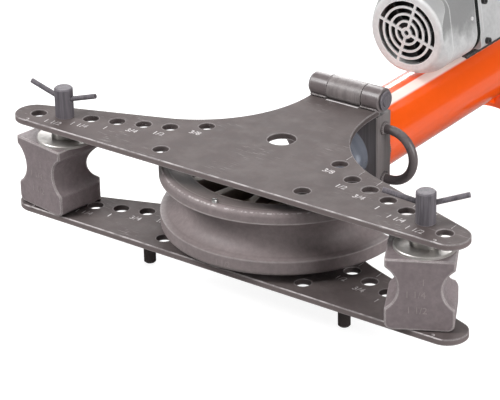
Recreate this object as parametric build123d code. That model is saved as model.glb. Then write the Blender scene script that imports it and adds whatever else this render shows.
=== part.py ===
from build123d import *
import os
from math import cos, radians, sin, sqrt, tan

os.makedirs("parts", exist_ok=True)

# Electric pipe bender with open wings: two wing plates, a ram that pushes a bending former,
# two support blocks on pins, and a motor pump that stands on the cylinder.
# X runs across the wings, Y back along the ram, Z up from the floor, in millimetres.
# Each piece is drawn with the wings' centre hole at X = Y = 0. At the end all pieces move by
# one common step, so that the origin lies in the middle of the footprint.

# Fits
RUN_FIT = 0.05        # radial gap of a shaft that turns or slides in its bore
SEAT_FIT = 0.02       # radial gap of a piece pressed or screwed home
FACE_GAP = 0.3        # gap between flat faces that slide past each other
PIPE_FIT = 0.3        # radial gap between a pipe and its groove
CUT_OVER = 1.0        # how far a cutter runs past the face that it cuts

# Wing plates
PLATE_T = 8.0
PLATE_EDGE = 0.8      # chamfer round the plates' outline
THROAT = 112.6        # clear height between the plates
HOLE_D = 20.5
ROW_COUNT = 6         # pin holes in each sloping row
ROW_PITCH = 34.8
ROW_ANGLE = 19.5      # slope of the row towards the front
ROW_X = 135.9         # innermost hole of the row
ROW_Y = -47.6
PIN_HOLE = 4          # hole of the row that holds the pin, counted from the inside at 0
INNER_HOLE_X = 99.6   # hole of the smallest pipe, off the row
INNER_HOLE_Y = -20.4
FRONT_HOLE_X = 104.7  # pair of fixing holes near the front edge
FRONT_HOLE_Y = -105.9
CENTRE_HOLE_D = 36.0
WING_FRONT = 132.0    # straight front edge ahead of the centre hole
EDGE_OFFSET = 26.3    # rear edge of the wings behind the row of holes
TIP_R = 25.3          # round of the wing tips
NECK_W = 100.0        # width of the plates at the yoke
WAIST_R = 160.0       # hollow curve between wing and neck
NOTCH_GAP = 1.6       # between the upper plate and the yoke's knuckle

# Front feet
FOOT_H = 47.0
FOOT_D = 15.5
FOOT_EDGE = 1.5
FOOT_X = 148.0
FOOT_Y = -82.7

# Yoke and hinge
YOKE_Y = 132.5        # front face of the yoke
YOKE_DEPTH = 31.5
YOKE_W = 104.0
YOKE_EDGE = 1.5
HINGE_RISE = 10.5     # hinge axis above the upper plate
KNUCKLE_D = 32.0
KNUCKLE_MIDDLE = 51.0  # length of the yoke's knuckle
KNUCKLE_OUTER = 26.0   # length of each knuckle on the wing
KNUCKLE_GAP = 0.6
HINGE_PIN_D = 16.0
WASHER_D = 25.0
WASHER_T = 2.5
PIN_NIB = 1.5         # hinge pin end that stands out of its washer

# Carrying handles on the yoke
HANDLE_BAR = 12.0
HANDLE_SPAN = 69.0    # between the two ends of the bar
HANDLE_REACH = 44.0   # out from the yoke to the bar's centre line
HANDLE_RISE = 5.0     # above the ram axis

# Cylinder and ram
RAM_RISE = 53.5       # ram axis above the lower plate
CYL_D = 93.0
CYL_WALL = 8.5
CYL_LENGTH = 385.0
CAP_T = 22.0
CAP_EDGE = 4.0
CAP_SPIGOT = 14.0     # length of the end cap inside the tube
NOSE_REACH = 28.0     # steel nose in front of the yoke
NOSE_INSIDE = 30.0    # nose inside the tube
NOSE_EDGE = 2.5
RAM_D = 50.0
RAM_SPIGOT_D = 34.0   # front end of the ram, inside the former
RAM_SPIGOT = 34.0
RAM_TAIL_D = 36.0     # rear end of the ram, inside the piston
PISTON_T = 36.0
PISTON_Y = 420.0      # front face of the piston at rest
SEAL_T = 8.0
SEAL_DEPTH = 5.0
WIPER_T = 6.0
WIPER_DEPTH = 5.0
SPRING_WIRE = 8.0
SPRING_TURNS = 9

# Bending former for a pipe of 48.3 mm
PIPE_D = 48.3
FORMER_R = 155.0
FORMER_Y = 5.0        # centre of the bend at rest
FORMER_TOP = 39.0     # above the ram axis
FORMER_FOOT = 44.0    # below the ram axis
FORMER_EDGE = 6.0
RIM_T = 37.0          # rim from its outside to the web's pockets
LEDGE_IN = 12.0       # step round the top and foot of the rim, from its outside
LEDGE_DROP = 5.0
WEB_T = 14.0
HUB_R = 36.0
HUB_BACK = 15.0       # hub behind the centre of the bend
RIB_COUNT = 6
RIB_ANGLE = 26.0      # between ribs
RIB_T = 9.0
RIB_DROP = 12.0       # ribs below the rim

# Support blocks, bushes and pins
BLOCK_W = 81.0
BLOCK_FRONT = 38.0    # front face from the pin
BLOCK_BACK = 34.0     # pipe side from the pin
BLOCK_H = 90.0
BLOCK_EDGE = 1.6
BLOCK_BACK_R = 12.0   # round of the two upright corners on the pipe side
BLOCK_FOOT_R = 9.0    # round of the foot's sides
LIP_R = 4.0
LEFT_GROOVE_R = 30.5
LEFT_GROOVE_DEPTH = 15.0
RIGHT_GROOVE_R = 29.0
RIGHT_GROOVE_DEPTH = 14.0
REAR_GROOVE_DEPTH = 15.0
LEFT_BLOCK_ANGLE = -9.0
RIGHT_BLOCK_ANGLE = 28.0
LEFT_BLOCK_SHIFT = -12.0   # middle of each block beside its pin
RIGHT_BLOCK_SHIFT = -3.0
BUSH_D = 74.0
BUSH_T = 4.0
BOSS_D = 36.0
PIN_D = 20.0
PIN_HEAD_D = 23.6
PIN_HEAD_H = 39.0
PIN_EDGE = 1.5
BAR_D = 6.4
BAR_REACH = 49.5      # each arm of the tommy bar, level
BAR_RISE = 15.5       # each arm's rise to its end
BAR_LEVEL = 22.0      # middle of the bar above the plate
BAR_BEND_R = 14.0
LEFT_BAR_ANGLE = 3.0
RIGHT_BAR_ANGLE = 26.0

# Motor
MOTOR_RISE = 113.4    # motor axis above the ram axis
MOTOR_W = 110.0       # across the sides at the axis
MOTOR_H = 107.0
MOTOR_LEAN = 0.14     # the sides lean in by this share of the height
MOTOR_BASE_R = 36.0   # lower corners of the motor's section
MOTOR_CROWN_R = 24.0  # upper corners
MOTOR_LENGTH = 84.0   # from the grille to the gasket
MOTOR_BORE_R = 49.5
FACE_R = 53.5         # round grille face
FACE_EDGE = 7.0
FLARE_R = 68.0        # the round face widens to the motor's section
FLARE_LENGTH = 24.0
COVER_LENGTH = 24.0   # fan cover, the front part of the motor
COVER_WALL = 2.5
GRILLE_RINGS = 4
GRILLE_FIRST_R = 11.0
GRILLE_PITCH = 9.7
SLOT_W = 6.7
SLOT_CORNER = 1.4
SPOKE_W = 3.4
SPOKE_COUNT = 4
SPOKE_ANGLE = 72.0
GRILLE_HOLE_D = 7.0
FAN_GAP = 6.0         # between grille and fan
FAN_R = 43.0
FAN_T = 13.0
FAN_DISC_T = 2.5
FAN_HUB_R = 13.0
FAN_NOSE = 3.0        # closed front of the hub
BLADE_COUNT = 9
BLADE_T = 2.0
SHAFT_D = 14.0
BEARING_D = 35.0
BEARING_T = 10.0
BEARING_RACE = 4.0    # radial height of each bearing ring
SHIELD_IN = 3.0       # end shield behind the shell's front
SHIELD_T = 7.0
STATOR_IN = 15.0      # stator behind the end shield's front
STATOR_T = 34.0
STATOR_BORE_R = 27.0
AIR_GAP = 0.5
WINDING_T = 7.0
WINDING_IN_R = 30.0
WINDING_OUT_R = 43.0
GASKET_T = 8.0

# Pump housing
HOUSING_LENGTH = 129.0
HOUSING_TOP_RISE = 50.0  # above the motor axis
HOUSING_DROP = 42.0   # base below the motor axis
HOUSING_W = 108.0     # across the sides at the motor axis
HOUSING_CORNER = 6.0
HOUSING_WALL = 7.0
HOUSING_FRONT_T = 14.0
FLANGE_T = 8.0        # front flange that closes the motor
REAR_COVER_T = 10.0
BOLT_HEAD_D = 9.0
BOLT_HEAD_H = 5.0
BOLT_SOCKET = 4.4     # across the corners of the hexagon socket
BOLT_SINK = 2.0       # depth of the socket and of the shank's seat
BOLT_INSET = 14.0     # side bolts from the housing's ends
BOLT_HIGH = 22.0      # side bolts above and below the motor axis
BOLT_LOW = -33.0
COVER_BOLT_X = 39.0
COVER_BOLT_TOP = 12.0  # cover bolts from the housing's top and base
ECCENTRIC_IN = 53.0   # middle of the eccentric behind the housing's front
ECCENTRIC_R = 11.0
ECCENTRIC_THROW = 2.5
ECCENTRIC_T = 16.0
PUMP_BLOCK_W = 78.0
PUMP_BLOCK_T = 30.0
PUMP_BLOCK_TOP = 24.0  # above the motor axis
PUMP_WELL_R = 20.0
PLUNGER_D = 10.0
PLUNGER_LENGTH = 20.0
PLUNGER_GAP = 0.4     # at the eccentric's highest point
SADDLE_W = 36.0
SADDLE_IN = 24.0      # saddle behind the housing's front
SADDLE_LENGTH = 95.0
FILLER_D = 26.0
FILLER_H = 11.0
FILLER_IN = 30.0      # filler ahead of the housing's back
FILLER_FLUTES = 10

# Pressure pipe to the cylinder
PRESSURE_PIPE_D = 10.0
PRESSURE_PIPE_RISE = 10.5  # above the housing's base
PRESSURE_BEND_R = 18.0
CAP_PORT_IN = 10.0    # port behind the tube's end, in the end cap
PIPE_ROOM = 49.0      # from the rear cover back to that port
UNION_D = 17.0        # across the corners
UNION_T = 9.0

# Release valve
VALVE_X = 26.0
VALVE_RISE = 12.0     # above the motor axis
VALVE_D = 22.0
VALVE_T = 12.0
VALVE_STEM_D = 9.0
LEVER_HUB_D = 18.0
LEVER_T = 9.0
LEVER_LENGTH = 68.0
LEVER_KNOB_D = 16.0

# Switch box on the left of the housing
SWITCH_W = 34.0       # out from the housing at the motor axis
SWITCH_IN = 29.0      # box behind the housing's front
SWITCH_LENGTH = 62.0
SWITCH_RISE = 14.0    # above the housing's base
SWITCH_H = 58.0
SWITCH_EDGE = 5.0
BUTTON_D = 20.0
BUTTON_OUT = 6.0
BUTTON_IN = 8.0
BEZEL_D = 27.0
BEZEL_T = 3.0
GLAND_D = 18.0
GLAND_T = 16.0
GLAND_BORE = 9.0

# Rear stand
STAND_IN = 44.0       # web ahead of the tube's end
STAND_T = 6.0
STAND_W = 210.0       # across the legs at the pads
LEG_W = 40.0
ARCH_TOP = 36.0
STAND_WRAP_ANGLE = 60.0     # half angle of the saddle about the cylinder's underside
SOLE_LENGTH = 36.0
SOLE_T = 5.0
GUSSET_LENGTH = 41.0
PAD_T = 10.0
PAD_INSET = 2.0

# Levels and stations that follow from the sizes above
LOWER_TOP = FOOT_H + PLATE_T
UPPER_BASE = LOWER_TOP + THROAT
UPPER_TOP = UPPER_BASE + PLATE_T
RAM_Z = LOWER_TOP + RAM_RISE
YOKE_BACK = YOKE_Y + YOKE_DEPTH
HINGE_Y = YOKE_Y + YOKE_DEPTH / 2
HINGE_Z = UPPER_TOP + HINGE_RISE
CYL_BORE = CYL_D - 2 * CYL_WALL
CYL_END = YOKE_BACK + CYL_LENGTH
CAP_END = CYL_END + CAP_T
PORT_Y = CYL_END + CAP_PORT_IN
SPRING_MEAN_D = (RAM_D + CYL_BORE) / 2
RIM_INNER_R = FORMER_R - RIM_T
LEDGE_R = FORMER_R - LEDGE_IN
COVER_END = PORT_Y - PIPE_ROOM
HOUSING_END = COVER_END - REAR_COVER_T
HOUSING_Y = HOUSING_END - HOUSING_LENGTH
GASKET_Y = HOUSING_Y - GASKET_T
MOTOR_Y = GASKET_Y - MOTOR_LENGTH
SHELL_Y = MOTOR_Y + COVER_LENGTH
SHIELD_Y = SHELL_Y + SHIELD_IN
STATOR_Y = SHIELD_Y + STATOR_IN
ECCENTRIC_Y = HOUSING_Y + ECCENTRIC_IN
SADDLE_Y = HOUSING_Y + SADDLE_IN
FILLER_Y = HOUSING_END - FILLER_IN
SWITCH_Y = HOUSING_Y + SWITCH_IN
STAND_Y = CYL_END - STAND_IN
MOTOR_Z = RAM_Z + MOTOR_RISE
HOUSING_TOP = MOTOR_Z + HOUSING_TOP_RISE
HOUSING_BASE = MOTOR_Z - HOUSING_DROP
PIN_X = ROW_X + PIN_HOLE * ROW_PITCH * cos(radians(ROW_ANGLE))
PIN_Y = ROW_Y - PIN_HOLE * ROW_PITCH * sin(radians(ROW_ANGLE))

CENTRE = (Align.CENTER, Align.CENTER, Align.CENTER)
STANDING = (Align.CENTER, Align.CENTER, Align.MIN)
ALONG_Y = Rot(-90, 0, 0)  # turns a piece drawn along Z so that it lies along Y
ALONG_X = Rot(0, 90, 0)


def rod_z(diameter, low, high, x=0.0, y=0.0):
    """Round bar that stands between two levels."""
    return Pos(x, y, low) * Cylinder(diameter / 2, high - low, align=STANDING)


def rod_y(diameter, front, back, x=0.0, z=0.0):
    """Round bar along Y between two stations."""
    return Pos(x, front, z) * ALONG_Y * Cylinder(diameter / 2, back - front, align=STANDING)


def rod_x(diameter, left, right, y=0.0, z=0.0):
    """Round bar along X between two sides."""
    return Pos(left, y, z) * ALONG_X * Cylinder(diameter / 2, right - left, align=STANDING)


def block(x, y, z):
    """Box between the low and the high value of each direction."""
    middle = Pos((x[0] + x[1]) / 2, (y[0] + y[1]) / 2, (z[0] + z[1]) / 2)
    return middle * Box(x[1] - x[0], y[1] - y[0], z[1] - z[0], align=CENTRE)


def ring_y(outer, inner, front, back, z):
    """Round ring about an axis along Y."""
    return rod_y(outer, front, back, z=z) - rod_y(inner, front - CUT_OVER, back + CUT_OVER, z=z)


def turned_y(points, front, z):
    """Piece turned about an axis along Y from pairs of radius and distance behind its front."""
    profile = make_face(Polyline(*[(radius, along) for radius, along in points], close=True))
    return Pos(0, front, z) * ALONG_Y * revolve(Plane.XZ * profile, Axis.Z)


def hexagon_y(corners, front, back, x, z):
    """Hexagon bar along Y."""
    bar = extrude(RegularPolygon(corners / 2, 6), back - front)
    return Pos(x, front, z) * ALONG_Y * bar


# Wing plates

def pin_holes():
    """Places of the round holes on the right wing, from the inside outwards, then the front one."""
    slope = radians(ROW_ANGLE)
    row = [(ROW_X + i * ROW_PITCH * cos(slope), ROW_Y - i * ROW_PITCH * sin(slope)) for i in range(ROW_COUNT)]
    return [(INNER_HOLE_X, INNER_HOLE_Y)] + row + [(FRONT_HOLE_X, FRONT_HOLE_Y)]


def wing_outline(neck_end):
    """Outline of a wing plate: straight front edge, round tips, hollow waists and a square neck."""
    slope = radians(ROW_ANGLE)
    front = -WING_FRONT
    neck = NECK_W / 2
    edge_at_row = ROW_Y + EDGE_OFFSET / cos(slope)
    corner_y = edge_at_row + (ROW_X - neck) * tan(slope)
    apex_x = ROW_X + (edge_at_row - front) / tan(slope)
    right = [(neck, neck_end), (neck, corner_y), (apex_x, front)]
    left = [(-x, y) for x, y in reversed(right)]
    face = make_face(Polyline(*right, *left, close=True))
    tips = [v for v in face.vertices() if abs(abs(v.X) - apex_x) < 0.01]
    face = fillet(tips, TIP_R)
    waists = [v for v in face.vertices() if abs(abs(v.X) - neck) < 0.01 and abs(v.Y - corner_y) < 0.01]
    return fillet(waists, WAIST_R)


def wing_plate(neck_end, base):
    """Plate with its pin holes and a small chamfer round both faces."""
    plate = extrude(wing_outline(neck_end), PLATE_T)
    rims = plate.faces().filter_by(Axis.Z)
    plate = chamfer([edge for face in rims for edge in face.outer_wire().edges()], PLATE_EDGE)
    places = [(side * x, y) for side in (-1, 1) for x, y in pin_holes()]
    holes = [rod_z(HOLE_D, -CUT_OVER, PLATE_T + CUT_OVER, x, y) for x, y in places]
    return Pos(0, 0, base) * (plate - holes)


def lower_wing_plate():
    return wing_plate(YOKE_BACK, FOOT_H)


def upper_wing_plate():
    """Plate that meets the hinge: trimmed to the outer knuckles and cut back round the yoke's one."""
    plate = wing_plate(HINGE_Y - KNUCKLE_D / 4, UPPER_BASE)
    plate -= rod_z(CENTRE_HOLE_D, UPPER_BASE - CUT_OVER, UPPER_TOP + CUT_OVER)
    plate -= rod_x(KNUCKLE_D, -NECK_W, NECK_W, HINGE_Y, HINGE_Z)
    notch = KNUCKLE_MIDDLE / 2 + KNUCKLE_GAP
    reach = sqrt((KNUCKLE_D / 2 + NOTCH_GAP) ** 2 - HINGE_RISE ** 2)
    levels = (UPPER_BASE - CUT_OVER, UPPER_TOP + CUT_OVER)
    return plate - block((-notch, notch), (HINGE_Y - reach, HINGE_Y), levels)


def wing_knuckle(side):
    """Tube welded behind the upper plate, on one side of the yoke's knuckle."""
    inner = KNUCKLE_MIDDLE / 2 + KNUCKLE_GAP
    left, right = sorted((side * inner, side * (inner + KNUCKLE_OUTER)))
    tube = rod_x(KNUCKLE_D, left, right, HINGE_Y, HINGE_Z)
    tube = chamfer(tube.edges().filter_by(GeomType.CIRCLE), PLATE_EDGE)
    return tube - rod_x(HINGE_PIN_D + 2 * RUN_FIT, left - CUT_OVER, right + CUT_OVER, HINGE_Y, HINGE_Z)


# Yoke, hinge pin, handles and feet

def yoke_block():
    """Block between the plates that takes the cylinder's nose and carries the middle knuckle."""
    half = YOKE_W / 2
    top = UPPER_BASE - FACE_GAP
    body = block((-half, half), (YOKE_Y, YOKE_BACK), (LOWER_TOP, top))
    body = chamfer(body.edges().filter_by(Axis.Z), YOKE_EDGE)
    lug = KNUCKLE_MIDDLE / 2
    body += block((-lug, lug), (HINGE_Y - KNUCKLE_D / 3, HINGE_Y + KNUCKLE_D / 2), (top, HINGE_Z))
    body += rod_x(KNUCKLE_D, -lug, lug, HINGE_Y, HINGE_Z)
    body -= rod_x(HINGE_PIN_D + 2 * SEAT_FIT, -half - CUT_OVER, half + CUT_OVER, HINGE_Y, HINGE_Z)
    return body - rod_y(CYL_BORE + 2 * SEAT_FIT, YOKE_Y - CUT_OVER, YOKE_BACK + CUT_OVER, z=RAM_Z)


def hinge_half():
    """Distance from the middle of the hinge to the outer end of its knuckles."""
    return KNUCKLE_MIDDLE / 2 + KNUCKLE_GAP + KNUCKLE_OUTER


def hinge_pin():
    end = hinge_half() + KNUCKLE_GAP + WASHER_T + PIN_NIB
    pin = rod_x(HINGE_PIN_D, -end, end, HINGE_Y, HINGE_Z)
    return chamfer(pin.edges().filter_by(GeomType.CIRCLE), PIN_NIB / 2)


def hinge_washers():
    """Ring at each end of the hinge pin."""
    inner = hinge_half() + KNUCKLE_GAP
    rings = []
    for side in (-1, 1):
        left, right = sorted((side * inner, side * (inner + WASHER_T)))
        ring = rod_x(WASHER_D, left, right, HINGE_Y, HINGE_Z)
        hole = rod_x(HINGE_PIN_D + 2 * SEAT_FIT, left - CUT_OVER, right + CUT_OVER, HINGE_Y, HINGE_Z)
        rings.append(ring - hole)
    return rings


def carry_handle(side):
    """Round bar bent to a bow, welded to the side of the yoke."""
    bow = HANDLE_SPAN / 2
    leg = HANDLE_REACH - bow
    path = Line((0, bow), (leg, bow))
    path += CenterArc((leg, 0), bow, 90, -180)
    path += Line((leg, -bow), (0, -bow))
    path = Plane.XZ * path
    bar = sweep(Plane((0, 0, bow), z_dir=(1, 0, 0)) * Circle(HANDLE_BAR / 2), path=path)
    turn = Rot(0, 0, 0 if side > 0 else 180)
    return Pos(side * YOKE_W / 2, HINGE_Y, RAM_Z + HANDLE_RISE) * turn * bar


def front_foot(side):
    foot = rod_z(FOOT_D, 0, FOOT_H, side * FOOT_X, FOOT_Y)
    return chamfer(foot.edges().group_by(Axis.Z)[0], FOOT_EDGE)


# Cylinder, ram and former

def cylinder_tube():
    return ring_y(CYL_D, CYL_BORE, YOKE_BACK, CYL_END, RAM_Z)


def cylinder_nose():
    """Steel nose through the yoke, with the ram's bore and the groove of the wiper in its front."""
    front = YOKE_Y - NOSE_REACH
    length = NOSE_REACH + YOKE_DEPTH + NOSE_INSIDE
    outer = CYL_BORE / 2 - SEAT_FIT
    bore = RAM_D / 2 + RUN_FIT
    wiper = bore + WIPER_DEPTH
    seal_at = length - 3 * SEAL_T
    points = [(wiper, 0), (outer - NOSE_EDGE, 0), (outer, NOSE_EDGE), (outer, length), (bore, length)]
    points += [(bore, seal_at + SEAL_T), (bore + SEAL_DEPTH, seal_at + SEAL_T)]
    points += [(bore + SEAL_DEPTH, seal_at), (bore, seal_at), (bore, WIPER_T), (wiper, WIPER_T)]
    return turned_y(points, front, RAM_Z)


def rod_wiper():
    """Ring with a lip in the front of the nose."""
    bore = RAM_D / 2 + RUN_FIT
    outer = bore + WIPER_DEPTH - SEAT_FIT
    points = [(bore, 0), (bore + WIPER_DEPTH / 3, 0), (outer, WIPER_T / 2), (outer, WIPER_T), (bore, WIPER_T)]
    return turned_y(points, YOKE_Y - NOSE_REACH, RAM_Z)


def rod_seal():
    """Ring in the groove of the nose."""
    front = YOKE_BACK + NOSE_INSIDE - 3 * SEAL_T
    outer = RAM_D + 2 * (RUN_FIT + SEAL_DEPTH - SEAT_FIT)
    return ring_y(outer, RAM_D + 2 * RUN_FIT, front, front + SEAL_T, RAM_Z)


def cylinder_end_cap():
    """Cap with a spigot in the tube and the drilled way of the oil."""
    outer = CYL_D / 2
    spigot = CYL_BORE / 2 - SEAT_FIT
    back = CAP_SPIGOT + CAP_T
    points = [(0, 0), (spigot, 0), (spigot, CAP_SPIGOT), (outer, CAP_SPIGOT)]
    points += [(outer, back - CAP_EDGE), (outer - CAP_EDGE, back), (0, back)]
    cap = turned_y(points, CYL_END - CAP_SPIGOT, RAM_Z)
    way = rod_y(PRESSURE_PIPE_D, CYL_END - CAP_SPIGOT - CUT_OVER, PORT_Y, z=RAM_Z)
    return cap - way - rod_z(PRESSURE_PIPE_D, RAM_Z, RAM_Z + CYL_D, y=PORT_Y)


def ram_rod():
    """Ram with a spigot for the former at the front and a tail for the piston at the back."""
    front = FORMER_Y + HUB_BACK
    length = PISTON_Y - front
    body, spigot, tail = RAM_D / 2, RAM_SPIGOT_D / 2, RAM_TAIL_D / 2
    edge = NOSE_EDGE
    points = [(0, -RAM_SPIGOT), (spigot - edge, -RAM_SPIGOT), (spigot, edge - RAM_SPIGOT), (spigot, 0)]
    points += [(body, 0), (body, length), (tail, length), (tail, length + PISTON_T), (0, length + PISTON_T)]
    return turned_y(points, front, RAM_Z)


def piston():
    """Piston with a groove for its seal."""
    outer = CYL_BORE / 2 - RUN_FIT
    bore = RAM_TAIL_D / 2 + SEAT_FIT
    groove = (PISTON_T - SEAL_T) / 2
    floor = outer - SEAL_DEPTH
    points = [(bore, 0), (outer, 0), (outer, groove), (floor, groove), (floor, groove + SEAL_T)]
    points += [(outer, groove + SEAL_T), (outer, PISTON_T), (bore, PISTON_T)]
    return turned_y(points, PISTON_Y, RAM_Z)


def piston_seal():
    outer = CYL_BORE - 2 * RUN_FIT
    front = PISTON_Y + (PISTON_T - SEAL_T) / 2
    return ring_y(outer, outer - 2 * (SEAL_DEPTH - SEAT_FIT), front, front + SEAL_T, RAM_Z)


def return_spring():
    """Coil round the ram, between the nose and the piston."""
    front = YOKE_BACK + NOSE_INSIDE + SPRING_WIRE / 2 + FACE_GAP
    length = PISTON_Y - front - SPRING_WIRE / 2 - FACE_GAP
    mean = SPRING_MEAN_D / 2
    path = Helix(length / SPRING_TURNS, length, mean)
    wire = sweep(Plane((mean, 0, 0), z_dir=path % 0) * Circle(SPRING_WIRE / 2), path=path, is_frenet=True)
    return Pos(0, front, RAM_Z) * ALONG_Y * wire


def former():
    """Half wheel with a round groove for the pipe, a web, ribs and a hub for the ram."""
    groove = PIPE_D / 2 + PIPE_FIT
    high, low = FORMER_TOP, -FORMER_FOOT
    step, foot_step = high - LEDGE_DROP, low + LEDGE_DROP
    shoulder = FORMER_R - FORMER_EDGE
    line = Line((FORMER_R, groove), (FORMER_R, high - FORMER_EDGE))
    line += RadiusArc((FORMER_R, high - FORMER_EDGE), (shoulder, high), -FORMER_EDGE)
    line += Polyline((shoulder, high), (LEDGE_R, high), (LEDGE_R, step), (RIM_INNER_R, step),
                     (RIM_INNER_R, foot_step), (LEDGE_R, foot_step), (LEDGE_R, low), (shoulder, low))
    line += RadiusArc((shoulder, low), (FORMER_R, low + FORMER_EDGE), -FORMER_EDGE)
    line += Line((FORMER_R, low + FORMER_EDGE), (FORMER_R, -groove))
    line += ThreePointArc((FORMER_R, -groove), (FORMER_R - groove, 0), (FORMER_R, groove))
    half = Rot(0, 0, 180) * revolve(Plane.XZ * make_face(line), Axis.Z, 180)
    web = block((-FORMER_R, FORMER_R), (-FORMER_R, 0), (-WEB_T / 2, WEB_T / 2))
    half += web & rod_z(2 * RIM_INNER_R + CUT_OVER, -WEB_T, WEB_T)
    for index in range(RIB_COUNT):
        turn = (index - (RIB_COUNT - 1) / 2) * RIB_ANGLE
        rib = block((-RIB_T / 2, RIB_T / 2), (-RIM_INNER_R - CUT_OVER, 0), (low + RIB_DROP, high - RIB_DROP))
        half += Rot(0, 0, turn) * rib
    hub = rod_z(2 * HUB_R, foot_step, step) & block((-HUB_R, HUB_R), (-HUB_R, HUB_BACK), (low, high))
    half += hub
    bore = rod_y(RAM_SPIGOT_D + 2 * SEAT_FIT, HUB_BACK - RAM_SPIGOT - FACE_GAP, HUB_BACK + CUT_OVER)
    return Pos(0, FORMER_Y, RAM_Z) * (half - bore)


# Support blocks, bushes, pins and tommy bars

def block_profile():
    """Front view of a support block: a groove in each side at the height of the pipe, with round lips."""
    half = BLOCK_W / 2
    face = Pos(0, BLOCK_H / 2) * Rectangle(BLOCK_W, BLOCK_H)
    pipe = RAM_RISE - FACE_GAP
    face -= Pos(LEFT_GROOVE_R * -1 - half + LEFT_GROOVE_DEPTH, pipe) * Circle(LEFT_GROOVE_R)
    face -= Pos(RIGHT_GROOVE_R + half - RIGHT_GROOVE_DEPTH, pipe) * Circle(RIGHT_GROOVE_R)
    lips = [v for v in face.vertices() if abs(abs(v.X) - half) < 0.01 and 0.01 < v.Y < BLOCK_H - 0.01]
    face = fillet(lips, LIP_R)
    foot = [v for v in face.vertices() if v.Y < 0.01]
    return fillet(foot, BLOCK_FOOT_R)


def support_block(side, turn, shift):
    """Cast block on a pin, with grooves for three pipe sizes and round corners on the pipe side."""
    depth = BLOCK_FRONT + BLOCK_BACK
    body = Pos(0, BLOCK_BACK, 0) * extrude(Plane.XZ * block_profile(), depth)
    body = chamfer(body.faces().sort_by(Axis.Y)[0].edges(), BLOCK_EDGE)
    plan = block((-BLOCK_W / 2, BLOCK_W / 2), (-BLOCK_FRONT, BLOCK_BACK), (0, BLOCK_H))
    body &= fillet(plan.edges().filter_by(Axis.Z).group_by(Axis.Y)[-1], BLOCK_BACK_R)
    groove = PIPE_D / 2 + PIPE_FIT
    behind = BLOCK_BACK - REAR_GROOVE_DEPTH + groove
    body -= rod_x(2 * groove, -BLOCK_W, BLOCK_W, behind, RAM_RISE - FACE_GAP)
    body -= rod_z(PIN_D + 2 * RUN_FIT, -CUT_OVER, BLOCK_H + CUT_OVER, x=-shift)
    return Pos(side * PIN_X, PIN_Y, LOWER_TOP + FACE_GAP) * Rot(0, 0, turn) * Pos(shift, 0, 0) * body


def block_bush(side):
    """Flanged bush between a support block and the upper plate."""
    base = LOWER_TOP + FACE_GAP + BLOCK_H
    flange = rod_z(BUSH_D, base, base + BUSH_T)
    flange = chamfer(flange.edges().group_by(Axis.Z)[-1], PLATE_EDGE)
    bush = flange + rod_z(BOSS_D, base + BUSH_T, UPPER_BASE - FACE_GAP)
    bush -= rod_z(PIN_D + 2 * RUN_FIT, base - CUT_OVER, UPPER_BASE)
    return Pos(side * PIN_X, PIN_Y, 0) * bush


def bar_sweep(diameter):
    """Bent bar about the point where it crosses its pin."""
    ends = [(-BAR_REACH, 0, BAR_RISE), (0, 0, 0), (BAR_REACH, 0, BAR_RISE)]
    path = FilletPolyline(*ends, radius=BAR_BEND_R)
    return sweep(Plane(path @ 0, z_dir=path % 0) * Circle(diameter / 2), path=path)


def bar_place(side, turn):
    """Where the middle of a tommy bar lies."""
    return Pos(side * PIN_X, PIN_Y, UPPER_TOP + BAR_LEVEL) * Rot(0, 0, turn)


def tommy_bar(side, turn):
    return bar_place(side, turn) * bar_sweep(BAR_D)


def wing_pin(side, turn):
    """Pin through both plates, with a thicker head that is drilled for the tommy bar."""
    head = rod_z(PIN_HEAD_D, UPPER_TOP, UPPER_TOP + PIN_HEAD_H)
    head = chamfer(head.edges().group_by(Axis.Z)[-1], PIN_EDGE)
    shank = rod_z(PIN_D, FOOT_H, UPPER_TOP)
    shank = chamfer(shank.edges().group_by(Axis.Z)[0], PIN_EDGE)
    pin = Pos(side * PIN_X, PIN_Y, 0) * (head + shank)
    return pin - bar_place(side, turn) * bar_sweep(BAR_D + 2 * SEAT_FIT)


# Motor

def leaning_outline(half, low, high):
    """Section across X and Z about the motor axis, with sides that lean in towards the top."""
    base, crown = half - MOTOR_LEAN * low, half - MOTOR_LEAN * high
    return make_face(Polyline((-base, low), (base, low), (crown, high), (-crown, high), close=True))


def motor_outline():
    """Section of the motor, round at its lower corners."""
    face = leaning_outline(MOTOR_W / 2, -MOTOR_H / 2, MOTOR_H / 2)
    face = fillet([v for v in face.vertices() if v.Y < 0], MOTOR_BASE_R)
    crown = [v for v in face.vertices() if v.Y > MOTOR_H / 2 - 0.01]
    return fillet(crown, MOTOR_CROWN_R)


def slab_y(outline, front, back):
    """Plate of an outline drawn across X and Z about the motor axis."""
    return Pos(0, front, MOTOR_Z) * Rot(90, 0, 0) * extrude(outline, front - back)


def grille_cut():
    """Openings of the grille: a centre hole, and rings of slots between crossed spokes."""
    cut = Sketch() + Circle(GRILLE_HOLE_D / 2)
    for index in range(GRILLE_RINGS):
        radius = GRILLE_FIRST_R + index * GRILLE_PITCH
        ring = Circle(radius + SLOT_W / 2) - Circle(radius - SLOT_W / 2)
        for spoke in range(SPOKE_COUNT):
            bar = Rectangle(2 * FACE_R, SPOKE_W, align=(Align.MIN, Align.CENTER))
            ring -= Rot(0, 0, SPOKE_ANGLE + spoke * 360 / SPOKE_COUNT) * bar
        cut += fillet(ring.vertices(), SLOT_CORNER)
    return cut


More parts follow.
